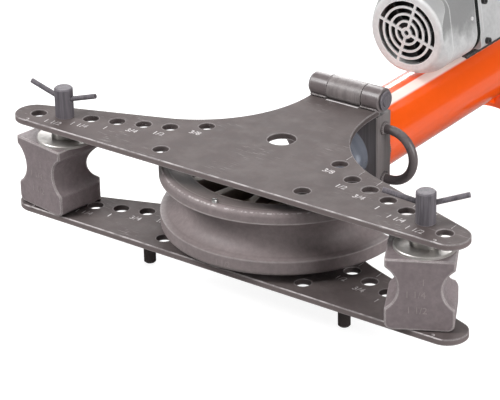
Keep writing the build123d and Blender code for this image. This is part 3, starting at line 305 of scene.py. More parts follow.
class EffectShop:
    """Builds each shared effect once, by the method that has the effect's name."""

    ao_samples: int = 8

    def __init__(self) -> None:
        """Starts with no group built."""
        self._groups: dict[Effect, bpy.types.ShaderNodeTree] = {}

    def get(self, effect: Effect) -> bpy.types.ShaderNodeTree:
        """The group of an effect, built at its first use.

        Args:
            effect: Which effect.

        Returns:
            Its node group.
        """
        if effect not in self._groups:
            builder: Callable[[], EffectSheet] = getattr(self, effect.value)
            self._groups[effect] = builder().tree
        return self._groups[effect]

    def edge_wear_and_highlight(self) -> EffectSheet:
        """Mask along outer edges, where paint rubs off and where the edges' highlights are painted, weaker
        on faces that lie level.

        Returns:
            The group, with Mask.
        """
        usual = {"Reach": 0.002, "Breakup": 140.0, "Amount": 0.8, "Level": 0.4}
        sheet = EffectSheet(Effect.EDGE_WEAR_AND_HIGHLIGHT, usual, ["Mask"])
        body = sheet.add("ShaderNodeAmbientOcclusion", {"Distance": sheet.given["Reach"]},
                         samples=self.ao_samples, inside=True, only_local=True)
        edge = sheet.span(body.outputs["AO"], read=(0.95, 0.82))
        up, place = sheet.part("Normal", "Z"), sheet.coordinates("Object")
        level = sheet.span(up, read=(0.93, 0.995), give=(1.0, sheet.given["Level"]))
        cloud = sheet.noise(place, scale=sheet.given["Breakup"], detail=5.0, roughness=0.65)
        broken = sheet.span(cloud, read=(0.25, 0.60), give=(0.45, 1.0))
        sheet.give(Mask=sheet.times(edge, level, broken, sheet.given["Amount"]))
        return sheet

    def corner_shade_and_grime(self) -> EffectSheet:
        """Mask in inner corners and hollows, from ambient occlusion: painted shade there, with the dirt and
        oil that stay.

        Returns:
            The group, with Mask.
        """
        sheet = EffectSheet(Effect.CORNER_SHADE_AND_GRIME, {"Reach": 0.02, "Amount": 0.5}, ["Mask"])
        hollow = sheet.add("ShaderNodeAmbientOcclusion", {"Distance": sheet.given["Reach"]},
                           samples=self.ao_samples)
        deep = sheet.span(hollow.outputs["AO"], read=(0.62, 0.08))
        sheet.give(Mask=sheet.times(deep, sheet.given["Amount"]))
        return sheet

    def scuffs(self) -> EffectSheet:
        """Mask of thin rub marks, in loose patches.

        Returns:
            The group, with Mask.
        """
        sheet = EffectSheet(Effect.SCUFFS, {"Scale": 55.0, "Amount": 0.3}, ["Mask"])
        place = sheet.coordinates("Object")
        slanted = {"Vector": place, "Rotation": (0.2, 0.1, 0.7), "Scale": (1.0, 16.0, 16.0)}
        drawn = sheet.add("ShaderNodeMapping", slanted).outputs[0]
        fine = sheet.noise(drawn, scale=sheet.given["Scale"], detail=2.0, roughness=0.5)
        loose = sheet.noise(place, scale=13.0, detail=2.0, roughness=0.5)
        streak = sheet.span(fine, read=(0.62, 0.72))
        patch = sheet.span(loose, read=(0.46, 0.66))
        sheet.give(Mask=sheet.times(streak, patch, sheet.given["Amount"]))
        return sheet

    def mottle(self) -> EffectSheet:
        """Slow patches of tone with finer cloud in them.

        Returns:
            The group, with Tone and Fine.
        """
        sheet = EffectSheet(Effect.MOTTLE, {"Scale": 14.0, "Cloud": 0.5}, ["Tone", "Fine"])
        place, scale = sheet.coordinates("Object"), sheet.given["Scale"]
        patches = sheet.noise(place, scale=scale, detail=3.0, roughness=0.5, distortion=0.4)
        finer = sheet.times(scale, 9.0)
        cloud = sheet.noise(place, scale=finer, detail=6.0, roughness=0.62)
        mixed = {0: sheet.given["Cloud"], 2: patches, 3: cloud}
        both = sheet.add("ShaderNodeMix", mixed, data_type="FLOAT").outputs[0]
        sheet.give(Tone=sheet.span(both, read=(0.32, 0.68)), Fine=cloud)
        return sheet

    def cast_grain(self) -> EffectSheet:
        """Grain of a sand-cast or sprayed surface, with small pits.

        Returns:
            The group, with Height and Tone.
        """
        sheet = EffectSheet(Effect.CAST_GRAIN, {"Scale": 700.0, "Pits": 0.4}, ["Height", "Tone"])
        place, scale = sheet.coordinates("Object"), sheet.given["Scale"]
        fine = sheet.noise(place, scale=scale, detail=5.0, roughness=0.6)
        wave_scale, pit_scale = sheet.times(scale, 0.16), sheet.times(scale, 0.35)
        wave = sheet.noise(place, scale=wave_scale, detail=3.0, roughness=0.5)
        cells = sheet.add("ShaderNodeTexVoronoi", {"Vector": place, "Scale": pit_scale})
        pit = sheet.times(sheet.span(cells.outputs["Distance"], read=(0.32, 0.05)), sheet.given["Pits"])
        swell = sheet.math("ADD", fine, wave)
        sheet.give(Height=sheet.math("SUBTRACT", swell, pit), Tone=sheet.span(fine, read=(0.30, 0.70)))
        return sheet

    def tool_lines(self) -> EffectSheet:
        """Fine lines of turning or drawing, by noise that is stretched along one direction.

        Returns:
            The group, with Height and Tone.
        """
        usual = {"Across X": 1.0, "Across Y": 1.0, "Across Z": 1.0, "Scale": 900.0}
        sheet = EffectSheet(Effect.TOOL_LINES, usual, ["Height", "Tone"])
        scale = sheet.given["Scale"]
        across = {i: sheet.given["Across " + axis] for i, axis in enumerate("XYZ")}
        factors = sheet.add("ShaderNodeCombineXYZ", across).outputs[0]
        drawn = sheet.vectors("MULTIPLY", sheet.coordinates("Object"), factors).outputs[0]
        fine = sheet.noise(drawn, scale=scale, detail=3.0, roughness=0.6)
        broad_scale = sheet.times(scale, 0.15)
        broad = sheet.noise(drawn, scale=broad_scale, detail=2.0, roughness=0.5)
        lines = sheet.times(sheet.math("ADD", fine, broad), 0.5)
        sheet.give(Height=lines, Tone=sheet.span(lines, read=(0.36, 0.64)))
        return sheet

    def settled_dust(self) -> EffectSheet:
        """Mask of dust on faces that look up.

        Returns:
            The group, with Mask.
        """
        sheet = EffectSheet(Effect.SETTLED_DUST, {"Amount": 0.2, "Scale": 40.0}, ["Mask"])
        level = sheet.span(sheet.part("Normal", "Z"), read=(0.55, 1.0))
        place = sheet.coordinates("Object")
        fluff = sheet.noise(place, scale=sheet.given["Scale"], detail=6.0, roughness=0.65)
        cloud = sheet.span(fluff, read=(0.38, 0.72))
        sheet.give(Mask=sheet.times(level, cloud, sheet.given["Amount"]))
        return sheet


class Swatch(Sheet):
    """A material that is being drawn, with its shader and the shared effects."""

    def __init__(self, name: str, effects: EffectShop) -> None:
        """Makes the material with a plain shader.

        Args:
            name: Name of the material.
            effects: The shared effects.
        """
        self.material = bpy.data.materials.new(name)
        self.material.use_nodes = True
        super().__init__(self.material.node_tree)
        self.effects = effects
        self.surface = self.add("ShaderNodeBsdfPrincipled")
        self.add("ShaderNodeOutputMaterial", {"Surface": self.surface.outputs[0]})

    def effect(self, effect: Effect, **values: Value) -> bpy.types.NodeOutputs:
        """Places a shared effect.

        Args:
            effect: Which effect.
            **values: Values of its inputs, by name.

        Returns:
            The outputs of the placed group.
        """
        group = self.effects.get(effect)
        return self.add("ShaderNodeGroup", dict(values), node_tree=group).outputs

    def mask(self, effect: Effect, **values: Value) -> bpy.types.NodeSocket:
        """Places a shared effect and hands out its Mask."""
        return self.effect(effect, **values)["Mask"]

    def layers(self, colour: Value, *coats: tuple[Value, Value]) -> Value:
        """Lays further colours over a first one.

        Args:
            colour: The first colour.
            *coats: Pairs of mask and colour, the uppermost last.

        Returns:
            The colour that shows.
        """
        for mask, tone in coats:
            colour = self.blend(mask, colour, tone)
        return colour

    def paint(self, sockets: dict[str, Value]) -> None:
        """Feeds the shader.

        Args:
            sockets: Value or link of each socket, by its name.
        """
        for name, value in sockets.items():
            self.feed(self.surface.inputs[name], value)

    def bump(self, height: Value, *, strength: float, depth: float) -> None:
        """Adds a bump to the surface.

        Args:
            height: Height over the surface.
            strength: Share of the bump that shows.
            depth: Height in metres of one unit.
        """
        inputs = {"Height": height, "Strength": strength, "Distance": depth}
        self.paint({"Normal": self.add("ShaderNodeBump", inputs).outputs[0]})


# Finishes


@dataclass(frozen=True, kw_only=True)
class Finish(ABC):
    """A procedural finish with its two tones and its range of roughness."""

    name: str
    slot: Slot
    tone: Colour
    shade: Colour
    rough: tuple[float, float]
    specular: float = 0.5

    def material(self, effects: EffectShop) -> bpy.types.Material:
        """Draws the material.

        Args:
            effects: The shared effects.

        Returns:
            The finished material.
        """
        swatch = Swatch(self.name, effects)
        swatch.paint({"Specular IOR Level": self.specular})
        self.draw(swatch)
        return swatch.material

    @abstractmethod
    def draw(self, swatch: Swatch) -> None:
        """Feeds the surface's colour, roughness and bump."""


@dataclass(frozen=True, kw_only=True)
class PaintedSteel(Finish):
    """Sprayed paint, rubbed pale along the edges, which also paints their highlights, with scuffs on it,
    and painted shade with grime in its corners.
    """

    worn_and_highlight: Colour = (0.60, 0.56, 0.56)
    wear_and_highlight: float = 0.45
    dust: float = 0.12
    dust_tone: Colour = (0.28, 0.25, 0.24)
    scuff: float = 0.30
    shade_and_grime: float = 0.70
    shade_and_grime_tone: Colour = (0.016, 0.014, 0.013)
    grain: float = 900.0
    grain_depth: float = 0.00006
    pits: float = 0.15
    coat: float = 0.0
    coat_rough: float = 0.1

    def ground(self, swatch: Swatch, patches: Value) -> Value:
        """Colour of the paint itself, between its two tones."""
        return swatch.blend(patches, self.shade, self.tone)

    def draw(self, swatch: Swatch) -> None:
        """Feeds patches of tone, dust, scuffs, worn edges that also paint highlights, painted shade with
        grime in corners, and the grain of the spray.

        Args:
            swatch: The material that is being drawn.
        """
        mottle = swatch.effect(Effect.MOTTLE, Scale=11.0, Cloud=0.55)
        grain = swatch.effect(Effect.CAST_GRAIN, Scale=self.grain, Pits=self.pits)
        dust = swatch.mask(Effect.SETTLED_DUST, Amount=self.dust, Scale=32.0)
        scuffs = swatch.mask(Effect.SCUFFS, Scale=48.0, Amount=self.scuff)
        # Worn edges, paler, which also paint the highlights that the edges catch.
        wear_and_highlight = swatch.mask(Effect.EDGE_WEAR_AND_HIGHLIGHT, Reach=0.0016, Breakup=150.0, Amount=self.wear_and_highlight)
        # Painted shade: corners and hollows darken by ambient occlusion, with grime in them too.
        shade_and_grime = swatch.mask(Effect.CORNER_SHADE_AND_GRIME, Reach=0.012, Amount=self.shade_and_grime)
        colour = swatch.layers(self.ground(swatch, mottle["Tone"]), (dust, self.dust_tone),
                               (scuffs, self.worn_and_highlight), (wear_and_highlight, self.worn_and_highlight), (shade_and_grime, self.shade_and_grime_tone))
        roughness = swatch.span(mottle["Fine"], read=CLOUD_RANGE, give=self.rough)
        swatch.paint({"Base Color": colour, "Roughness": roughness, "Coat Weight": self.coat,
                      "Coat Roughness": self.coat_rough})
        swatch.bump(grain["Height"], strength=0.6, depth=self.grain_depth)


@dataclass(frozen=True, kw_only=True)
class PaintedLightOutline(PaintedSteel):
    """Paint on a plate with painted light: the upright faces of its straight front edge and round tips are
    paler, and the front's upper edge carries a painted highlight.
    """

    lit_side_tone: Colour
    front: float
    front_fade: tuple[float, float] = (0.0018, 0.0012)
    tip: float
    tip_fade: float = 0.002

    def ground(self, swatch: Swatch, patches: Value) -> Value:
        """Colour of the paint, of the sides painted paler as lit, and of a broken painted highlight along
        the front.

        Args:
            swatch: The material that is being drawn.
            patches: Share of the paler tone.

        Returns:
            The colour.
        """
        up = swatch.part("Normal", "Z")
        start, end = (self.front + fade for fade in self.front_fade)
        ahead = swatch.span(swatch.part("Object", "Y"), read=(start, end))
        sideways = swatch.size(swatch.part("Object", "X"))
        aside = swatch.span(sideways, read=(self.tip, self.tip + self.tip_fade))
        upright = swatch.span(swatch.size(up), read=(0.45, 0.25))
        # Painted light: upright faces along the front edge and at the tips get a paler tone.
        sides = swatch.times(swatch.math("MAXIMUM", ahead, aside), upright)
        cloud = swatch.noise(swatch.coordinates("Object"), scale=45.0, detail=4.0, roughness=0.6)
        broken = swatch.span(cloud, read=(0.38, 0.62), give=(0.10, 0.75))
        # Painted highlight: a broken pale line along the front's upper edge.
        front_highlight = swatch.times(ahead, swatch.span(up, read=(0.50, 0.65)), broken)
        return swatch.layers(super().ground(swatch, patches), (sides, self.lit_side_tone), (front_highlight, self.worn_and_highlight))


@dataclass(frozen=True, kw_only=True)
class Enamel(PaintedSteel):
    """Glossy orange enamel on clean steel."""

    slot: Slot = Slot.ORANGE_PAINT
    tone: Colour = (0.96, 0.104, 0.002)
    shade: Colour = (0.92, 0.098, 0.002)
    rough: tuple[float, float] = (0.30, 0.36)
    specular: float = 0.3
    worn_and_highlight: Colour = (0.80, 0.22, 0.09)
    wear_and_highlight: float = 0.25
    dust: float = 0.0
    scuff: float = 0.0
    shade_and_grime: float = 0.3
    shade_and_grime_tone: Colour = (0.20, 0.02, 0.002)
    grain: float = 500.0
    grain_depth: float = 0.00001
    pits: float = 0.0
    coat: float = 1.0
    coat_rough: float = 0.05


@dataclass(frozen=True, kw_only=True)
class HighlightedCrown(Enamel):
    """Enamel on a lying tube, with a painted highlight: a pale band along one side of its crown."""

    pale: Colour
    band: tuple[float, float]
    inner_fade: float = 0.02
    outer_fade: tuple[float, float] = (0.05, 0.03)
    highlight_share: float = 0.92

    def ground(self, swatch: Swatch, patches: Value) -> Value:
        """Colour of the enamel and of its painted highlight band.

        Args:
            swatch: The material that is being drawn.
            patches: Share of the paler tone.

        Returns:
            The colour.
        """
        across = swatch.part("Normal", "X")
        start, end = self.band
        beyond, before = self.outer_fade
        inner = swatch.span(across, read=(start - self.inner_fade, start + self.inner_fade))
        outer = swatch.span(across, read=(end + beyond, end - before))
        above = swatch.span(swatch.part("Normal", "Z"), read=(0.5, 0.6), give=(0.0, self.highlight_share))
        # Painted highlight: the pale band along the crown.
        return swatch.blend(swatch.times(inner, outer, above), super().ground(swatch, patches), self.pale)


@dataclass(frozen=True, kw_only=True)
class CastIron(Finish):
    """Painted casting with sand grain, pits, pale edges that are worn and painted as highlights, and
    painted shade with grime in its corners.
    """

    slot: Slot = Slot.CAST_GREY
    rough: tuple[float, float] = (0.42, 0.60)
    specular: float = 0.30
    worn_and_highlight: Colour = (0.54, 0.50, 0.49)
    wear_and_highlight: float = 0.80
    dust: float = 0.16
    shade_and_grime: float = 0.60
    shade_and_grime_tone: Colour = (0.02, 0.017, 0.015)
    speck: float = 0.25
    grain_depth: float = 0.00022

    def ground(self, swatch: Swatch) -> Value:
        """Colour of the paint itself, in clouds."""
        mottle = swatch.effect(Effect.MOTTLE, Scale=17.0, Cloud=0.6)
        return swatch.blend(mottle["Tone"], self.shade, self.tone)

    def draw(self, swatch: Swatch) -> None:
        """Feeds cloudy tone, worn edges that also paint highlights, painted shade with grime, and a deep
        grain.

        Args:
            swatch: The material that is being drawn.
        """
        grain = swatch.effect(Effect.CAST_GRAIN, Scale=420.0, Pits=0.5)
        # Worn edges, paler, which also paint the highlights that the edges catch.
        wear_and_highlight = swatch.mask(Effect.EDGE_WEAR_AND_HIGHLIGHT, Reach=0.0022, Breakup=120.0, Amount=self.wear_and_highlight)
        dust = swatch.mask(Effect.SETTLED_DUST, Amount=self.dust, Scale=55.0)
        # Painted shade: corners and hollows darken by ambient occlusion, with grime in them too.
        shade_and_grime = swatch.mask(Effect.CORNER_SHADE_AND_GRIME, Reach=0.016, Amount=self.shade_and_grime)
        specks = swatch.times(grain["Tone"], self.speck)
        colour = swatch.layers(self.ground(swatch), (specks, self.shade), (dust, self.worn_and_highlight),
                               (wear_and_highlight, self.worn_and_highlight), (shade_and_grime, self.shade_and_grime_tone))
        roughness = swatch.span(grain["Tone"], read=FULL_RANGE, give=self.rough)
        swatch.paint({"Base Color": colour, "Roughness": roughness})
        swatch.bump(grain["Height"], strength=0.7, depth=self.grain_depth)


@dataclass(frozen=True, kw_only=True)
class BrownInsideWithPaintedLight(CastIron):
    """Casting whose unpainted inside, about an upright axis, is brown and lightened as painted bounce
    light, paler on its floors as painted light from above.
    """

    inside: Colour
    floor: Colour
    ledge: Colour
    axis: tuple[float, float]
    radius: float
    radius_fade: float = 0.0015
    rim: float
    rim_width: float = 0.001
    ledge_fade: float = 0.004

    def ground(self, swatch: Swatch) -> Value:
        """Colour of the paint, and of the brown inside it with its painted light.

        Args:
            swatch: The material that is being drawn.

        Returns:
            The colour.
        """
        flat = swatch.vectors("MULTIPLY", swatch.coordinates("Object"), (1.0, 1.0, 0.0)).outputs[0]
        away = swatch.vectors("DISTANCE", flat, (*self.axis, 0.0)).outputs["Value"]
        up = swatch.part("Normal", "Z")
        within = swatch.span(away, read=(self.radius + self.radius_fade, self.radius - self.radius_fade))
        nearer = swatch.span(away, read=(self.rim, self.rim - self.ledge_fade))
        # Level faces just inside the rim are darker.
        darker_ledge = swatch.times(nearer, swatch.span(up, read=(0.90, 0.98)))
        # Painted light: the inside is lightened to brown as bounce light, and its floors are paler as light
        # from above.
        brown_with_painted_light = swatch.blend(swatch.span(up, read=(0.55, 0.85)), self.inside, self.floor)
        # The rim's rounded edge gets a painted highlight.
        return swatch.layers(super().ground(swatch), (darker_ledge, self.ledge), (within, brown_with_painted_light),
                             (self.painted_rim_highlight(swatch, away, up), self.worn_and_highlight))

    def painted_rim_highlight(self, swatch: Swatch, away: Value, up: Value) -> bpy.types.NodeSocket:
        """Mask of the painted highlight on the rounded edge of the rim, broken in places.

        Args:
            swatch: The material that is being drawn.
            away: Distance from the axis.
            up: Share of the normal that looks up.

        Returns:
            The mask.
        """
        facing = swatch.times(swatch.span(up, read=(0.66, 0.76)), swatch.span(up, read=(0.94, 0.88)))
        outer = swatch.span(away, read=(self.rim - self.rim_width, self.rim))
        cloud = swatch.noise(swatch.coordinates("Object"), scale=160.0, detail=4.0, roughness=0.6)
        return swatch.times(facing, outer, swatch.span(cloud, read=(0.42, 0.66)))


@dataclass(frozen=True, kw_only=True)
class BareSteel(Finish):
    """Machined or plated steel with the lines of its tool."""

    lines: tuple[float, float, float] = (1.0, 1.0, 1.0)
    line_scale: float = 900.0
    line_depth: float = 0.00003
    metal: float = 1.0
    tint: Colour = (0.30, 0.27, 0.23)
    tint_share: float = 0.0
    edge: float = 0.35
    edge_gain: float = 1.35
    shade_and_grime_tone: Colour = (0.03, 0.027, 0.024)

    def draw(self, swatch: Swatch) -> None:
        """Feeds tool lines, stains, bright edges that are worn and painted as highlights, and painted shade
        with grime in corners, on a metal.

        Args:
            swatch: The material that is being drawn.
        """
        mottle = swatch.effect(Effect.MOTTLE, Scale=26.0, Cloud=0.45)
        across = dict(zip(("Across X", "Across Y", "Across Z"), self.lines))
        lines = swatch.effect(Effect.TOOL_LINES, **across, Scale=self.line_scale)
        # Worn edges, brighter, which also paint the highlights that the edges catch.
        wear_and_highlight = swatch.mask(Effect.EDGE_WEAR_AND_HIGHLIGHT, Reach=0.001, Breakup=220.0, Amount=self.edge)
        # Painted shade: corners and hollows darken by ambient occlusion, with grime in them too.
        shade_and_grime = swatch.mask(Effect.CORNER_SHADE_AND_GRIME, Reach=0.008, Amount=0.5)
        bright_wear_and_highlight = tuple(min(1.0, self.edge_gain * part) for part in self.tone)
        stain = swatch.times(mottle["Tone"], self.tint_share)
        colour = swatch.layers(swatch.blend(lines["Tone"], self.shade, self.tone), (stain, self.tint),
                               (wear_and_highlight, bright_wear_and_highlight), (shade_and_grime, self.shade_and_grime_tone))
        roughness = swatch.span(mottle["Fine"], read=CLOUD_RANGE, give=self.rough)
        swatch.paint({"Base Color": colour, "Roughness": roughness, "Metallic": self.metal})
        swatch.bump(lines["Height"], strength=0.5, depth=self.line_depth)


@dataclass(frozen=True, kw_only=True)
class CastAlloy(Finish):
    """Light die-cast alloy, blasted and a little stained, with painted shade on the upper part of its
    sides.
    """

    slot: Slot = Slot.MOTOR_ALLOY
    rough: tuple[float, float] = (0.50, 0.62)
    specular: float = 0.3
    metal: float = 0.25
    worn_and_highlight: Colour = (0.85, 0.85, 0.85)
    hollow_shade_tone: Colour = (0.012, 0.012, 0.012)
    grain_depth: float = 0.00008
    upper_shade: float = 0.0
    upper_shade_tone: Colour = (0.27, 0.27, 0.27)
    upper_shade_level: float = 0.217
    upper_shade_fade: float = 0.018

    def draw(self, swatch: Swatch) -> None:
        """Feeds soft stains, painted shade on the upper sides, bright edges that are worn and painted as
        highlights, hollows painted black as shade with grime, and a fine grain.

        Args:
            swatch: The material that is being drawn.
        """
        mottle = swatch.effect(Effect.MOTTLE, Scale=19.0, Cloud=0.4)
        grain = swatch.effect(Effect.CAST_GRAIN, Scale=1100.0, Pits=0.25)
        # Worn edges, paler, which also paint the highlights that the edges catch.
        wear_and_highlight = swatch.mask(Effect.EDGE_WEAR_AND_HIGHLIGHT, Reach=0.0014, Breakup=160.0, Amount=0.6)
        dust = swatch.mask(Effect.SETTLED_DUST, Amount=0.12, Scale=45.0)
        # Painted shade: hollows go nearly black by ambient occlusion, with grime in them too.
        shade_and_grime = swatch.mask(Effect.CORNER_SHADE_AND_GRIME, Reach=0.016, Amount=0.95)
        # Painted shade lies on the upper part of the sides.
        colour = swatch.layers(swatch.blend(mottle["Tone"], self.shade, self.tone),
                               (self.painted_upper_shade(swatch), self.upper_shade_tone), (dust, self.shade),
                               (wear_and_highlight, self.worn_and_highlight), (shade_and_grime, self.hollow_shade_tone))
        roughness = swatch.span(grain["Tone"], read=FULL_RANGE, give=self.rough)
        swatch.paint({"Base Color": colour, "Roughness": roughness, "Metallic": self.metal})
        swatch.bump(grain["Height"], strength=0.5, depth=self.grain_depth)

    def painted_upper_shade(self, swatch: Swatch) -> bpy.types.NodeSocket:
        """Mask of painted shade on the upper part of the sides, with a cloudy lower edge.

        Args:
            swatch: The material that is being drawn.

        Returns:
            The mask.
        """
        fade, level = self.upper_shade_fade, self.upper_shade_level
        noise = swatch.noise(swatch.coordinates("Object"), scale=24.0, detail=5.0, roughness=0.6)
        cloud = swatch.span(noise, read=(0.2, 0.8), give=(-fade, fade))
        height = swatch.math("ADD", swatch.part("Object", "Z"), cloud)
        above = swatch.span(height, read=(level - fade, level + fade))
        side = swatch.span(swatch.size(swatch.part("Normal", "Y")), read=(0.85, 0.45))
        return swatch.times(above, side, self.upper_shade)


@dataclass(frozen=True, kw_only=True)
class Moulded(Finish):
    """Moulded plastic or rubber with a fine grain."""

    grain: float = 1500.0
    grain_depth: float = 0.00006
    worn_and_highlight: Colour = (0.09, 0.09, 0.09)
    coat: float = 0.0

    def draw(self, swatch: Swatch) -> None:
        """Feeds a slight change of tone, dulled edges that are worn and painted as highlights, dust and
        grain.

        Args:
            swatch: The material that is being drawn.
        """
        mottle = swatch.effect(Effect.MOTTLE, Scale=30.0, Cloud=0.5)
        grain = swatch.effect(Effect.CAST_GRAIN, Scale=self.grain, Pits=0.1)
        # Worn edges, paler, which also paint the highlights that the edges catch.
        wear_and_highlight = swatch.mask(Effect.EDGE_WEAR_AND_HIGHLIGHT, Reach=0.0009, Breakup=260.0, Amount=0.4)
        dust = swatch.mask(Effect.SETTLED_DUST, Amount=0.12, Scale=60.0)
        colour = swatch.layers(swatch.blend(mottle["Tone"], self.shade, self.tone),
                               (dust, self.worn_and_highlight), (wear_and_highlight, self.worn_and_highlight))
        roughness = swatch.span(grain["Tone"], read=FULL_RANGE, give=self.rough)
        swatch.paint({"Base Color": colour, "Roughness": roughness, "Coat Weight": self.coat})
        swatch.bump(grain["Height"], strength=0.5, depth=self.grain_depth)


@dataclass(frozen=True, kw_only=True)
class CopperWinding(Finish):
    """Varnished copper wire laid in turns about the motor's axis."""

    wire: float = 620.0
    wire_depth: float = 0.0004
    metal: float = 0.9
    varnish: float = 0.6

    def draw(self, swatch: Swatch) -> None:
        """Feeds rows of wire under varnish.

        Args:
            swatch: The material that is being drawn.
        """
        inputs = {"Vector": swatch.coordinates("Object"), "Scale": self.wire, "Distortion": 1.5,
                  "Detail": 1.0}
        wave = swatch.add("ShaderNodeTexWave", inputs, wave_type="RINGS", rings_direction="Y")
        rows = wave.outputs["Fac"]
        mottle = swatch.effect(Effect.MOTTLE, Scale=40.0, Cloud=0.5)
        roughness = swatch.span(mottle["Fine"], read=CLOUD_RANGE, give=self.rough)
        swatch.paint({"Base Color": swatch.blend(rows, self.shade, self.tone), "Roughness": roughness,
                      "Metallic": self.metal, "Coat Weight": self.varnish})
        swatch.bump(rows, strength=0.8, depth=self.wire_depth)


@dataclass(frozen=True, kw_only=True)
class StampedMark(Finish):
    """Pale metal in a stamped mark, with paint left in places."""

    slot: Slot = Slot.BRIGHT_STEEL
    metal: float = 0.15
    grain_depth: float = 0.00006

    def draw(self, swatch: Swatch) -> None:
        """Feeds a broken, pale tone.

        Args:
            swatch: The material that is being drawn.
        """
        mottle = swatch.effect(Effect.MOTTLE, Scale=70.0, Cloud=0.6)
        grain = swatch.effect(Effect.CAST_GRAIN, Scale=1400.0, Pits=0.3)
        colour = swatch.blend(mottle["Tone"], self.shade, self.tone)
        roughness = swatch.span(grain["Tone"], read=FULL_RANGE, give=self.rough)
        swatch.paint({"Base Color": colour, "Roughness": roughness, "Metallic": self.metal})
        swatch.bump(grain["Height"], strength=0.4, depth=self.grain_depth)


WING_PAINT = PaintedSteel(
    name="warm_grey_paint", slot=Slot.WING_PAINT, tone=(0.097, 0.079, 0.078), shade=(0.074, 0.060, 0.059),
    rough=(0.62, 0.76), specular=0.12)
PLATE_PAINT = PaintedLightOutline(
    name="plate_grey_paint", slot=Slot.WING_PAINT, tone=WING_PAINT.tone, shade=WING_PAINT.shade,
    rough=WING_PAINT.rough, specular=WING_PAINT.specular, lit_side_tone=(0.155, 0.128, 0.126), front=-0.3425,
    tip=0.312)
BARREL_PAINT = PaintedSteel(
    name="rubbed_grey_paint", slot=Slot.WING_PAINT, tone=(0.140, 0.118, 0.119), shade=(0.112, 0.094, 0.095),
    rough=(0.26, 0.36), specular=0.35, wear_and_highlight=0.25, grain_depth=0.00003)
MILLED_PAINT = BareSteel(
    name="milled_grey", slot=Slot.WING_PAINT, tone=(0.215, 0.191, 0.189), shade=(0.150, 0.133, 0.132),
    rough=(0.34, 0.44), specular=0.30, lines=(1.0, 1.0, 0.02), line_scale=600.0, metal=0.0)
CAST_PAINT = CastIron(
    name="grey_casting", tone=(0.228, 0.189, 0.195), shade=(0.166, 0.138, 0.142), specular=0.24, dust=0.04)
CAST_NUMERAL = CastIron(
    name="cast_numerals", tone=(0.270, 0.227, 0.227), shade=(0.205, 0.172, 0.172), wear_and_highlight=0.12)
FORMER_PAINT = BrownInsideWithPaintedLight(
    name="former_casting", tone=(0.250, 0.209, 0.209), shade=(0.190, 0.159, 0.159), rough=(0.42, 0.58),
    specular=0.20, inside=(0.23, 0.188, 0.156), floor=(0.44, 0.358, 0.290), ledge=(0.150, 0.124, 0.118),
    axis=(0.0, -0.2055), radius=0.119, rim=0.149, wear_and_highlight=0.45, dust=0.0, shade_and_grime=0.0, grain_depth=0.00016)
ZINC_PLATE = BareSteel(
    name="zinc_plate", slot=Slot.ZINC_STEEL, tone=(0.450, 0.430, 0.412), shade=(0.390, 0.373, 0.358),
    rough=(0.32, 0.42), tint_share=0.25, line_depth=0.00001, edge=0.6, metal=0.55)
RAM_STEEL = BareSteel(
    name="ground_steel", slot=Slot.RAM_STEEL, tone=(0.46, 0.49, 0.57), shade=(0.37, 0.40, 0.48),
    rough=(0.14, 0.22), lines=(0.02, 1.0, 0.02), line_depth=0.00002, metal=0.7)
PIN_STEEL = BareSteel(
    name="oiled_steel", slot=Slot.PIN_STEEL, tone=(0.158, 0.144, 0.159), shade=(0.084, 0.077, 0.086),
    rough=(0.44, 0.54), specular=0.10, lines=(1.0, 1.0, 0.04), line_scale=700.0, line_depth=0.00004,
    edge=0.7, metal=0.0)
ORANGE_ENAMEL = Enamel(name="orange_enamel")
TUBE_ENAMEL = HighlightedCrown(name="orange_tube_enamel", wear_and_highlight=0.0, pale=(0.98, 0.90, 0.85), band=(0.15, 0.44))
MOTOR_ALLOY = CastAlloy(name="blasted_alloy", tone=(0.72, 0.72, 0.72), shade=(0.54, 0.54, 0.545), upper_shade=0.9)
HOUSING_ALLOY = CastAlloy(name="cast_alloy", tone=(0.62, 0.62, 0.62), shade=(0.48, 0.48, 0.485))
REAR_ALLOY = CastAlloy(name="dull_alloy", tone=(0.36, 0.36, 0.36), shade=(0.28, 0.28, 0.285))
BLACK_PAINT = PaintedSteel(
    name="black_paint", slot=Slot.BLACK_STEEL, tone=(0.014, 0.014, 0.015), shade=(0.009, 0.009, 0.010),
    rough=(0.38, 0.52), worn_and_highlight=(0.09, 0.085, 0.08), wear_and_highlight=0.4, dust=0.08, dust_tone=(0.07, 0.066, 0.063),
    scuff=0.15)
TURNED_STEEL = BareSteel(
    name="turned_steel", slot=Slot.BRIGHT_STEEL, tone=(0.62, 0.62, 0.61), shade=(0.48, 0.48, 0.48),
    rough=(0.24, 0.36), lines=(0.06, 1.0, 0.06))
COPPER = CopperWinding(
    name="varnished_copper", slot=Slot.COPPER, tone=(0.72, 0.31, 0.13), shade=(0.30, 0.11, 0.045),
    rough=(0.25, 0.40))
CORE_STEEL = BareSteel(
    name="stacked_sheet", slot=Slot.CORE_STEEL, tone=(0.32, 0.32, 0.33), shade=(0.17, 0.17, 0.18),
    rough=(0.36, 0.50), lines=(0.03, 1.6, 0.03), line_scale=1400.0, line_depth=0.0001)
RUBBER = Moulded(
    name="black_rubber", slot=Slot.RUBBER_BLACK, tone=(0.011, 0.011, 0.011), shade=(0.007, 0.007, 0.007),
    rough=(0.66, 0.82), specular=0.2, grain=900.0, grain_depth=0.0001, worn_and_highlight=(0.03, 0.03, 0.03))
BLACK_PLASTIC = Moulded(
    name="black_plastic", slot=Slot.PLASTIC_BLACK, tone=(0.016, 0.016, 0.017), shade=(0.011, 0.011, 0.012),
    rough=(0.40, 0.54))
GREEN_PLASTIC = Moulded(
    name="green_plastic", slot=Slot.BUTTON_GREEN, tone=(0.025, 0.36, 0.105), shade=(0.018, 0.29, 0.080),
    rough=(0.22, 0.32), grain=700.0, grain_depth=0.00003, worn_and_highlight=(0.12, 0.45, 0.2), coat=0.5)
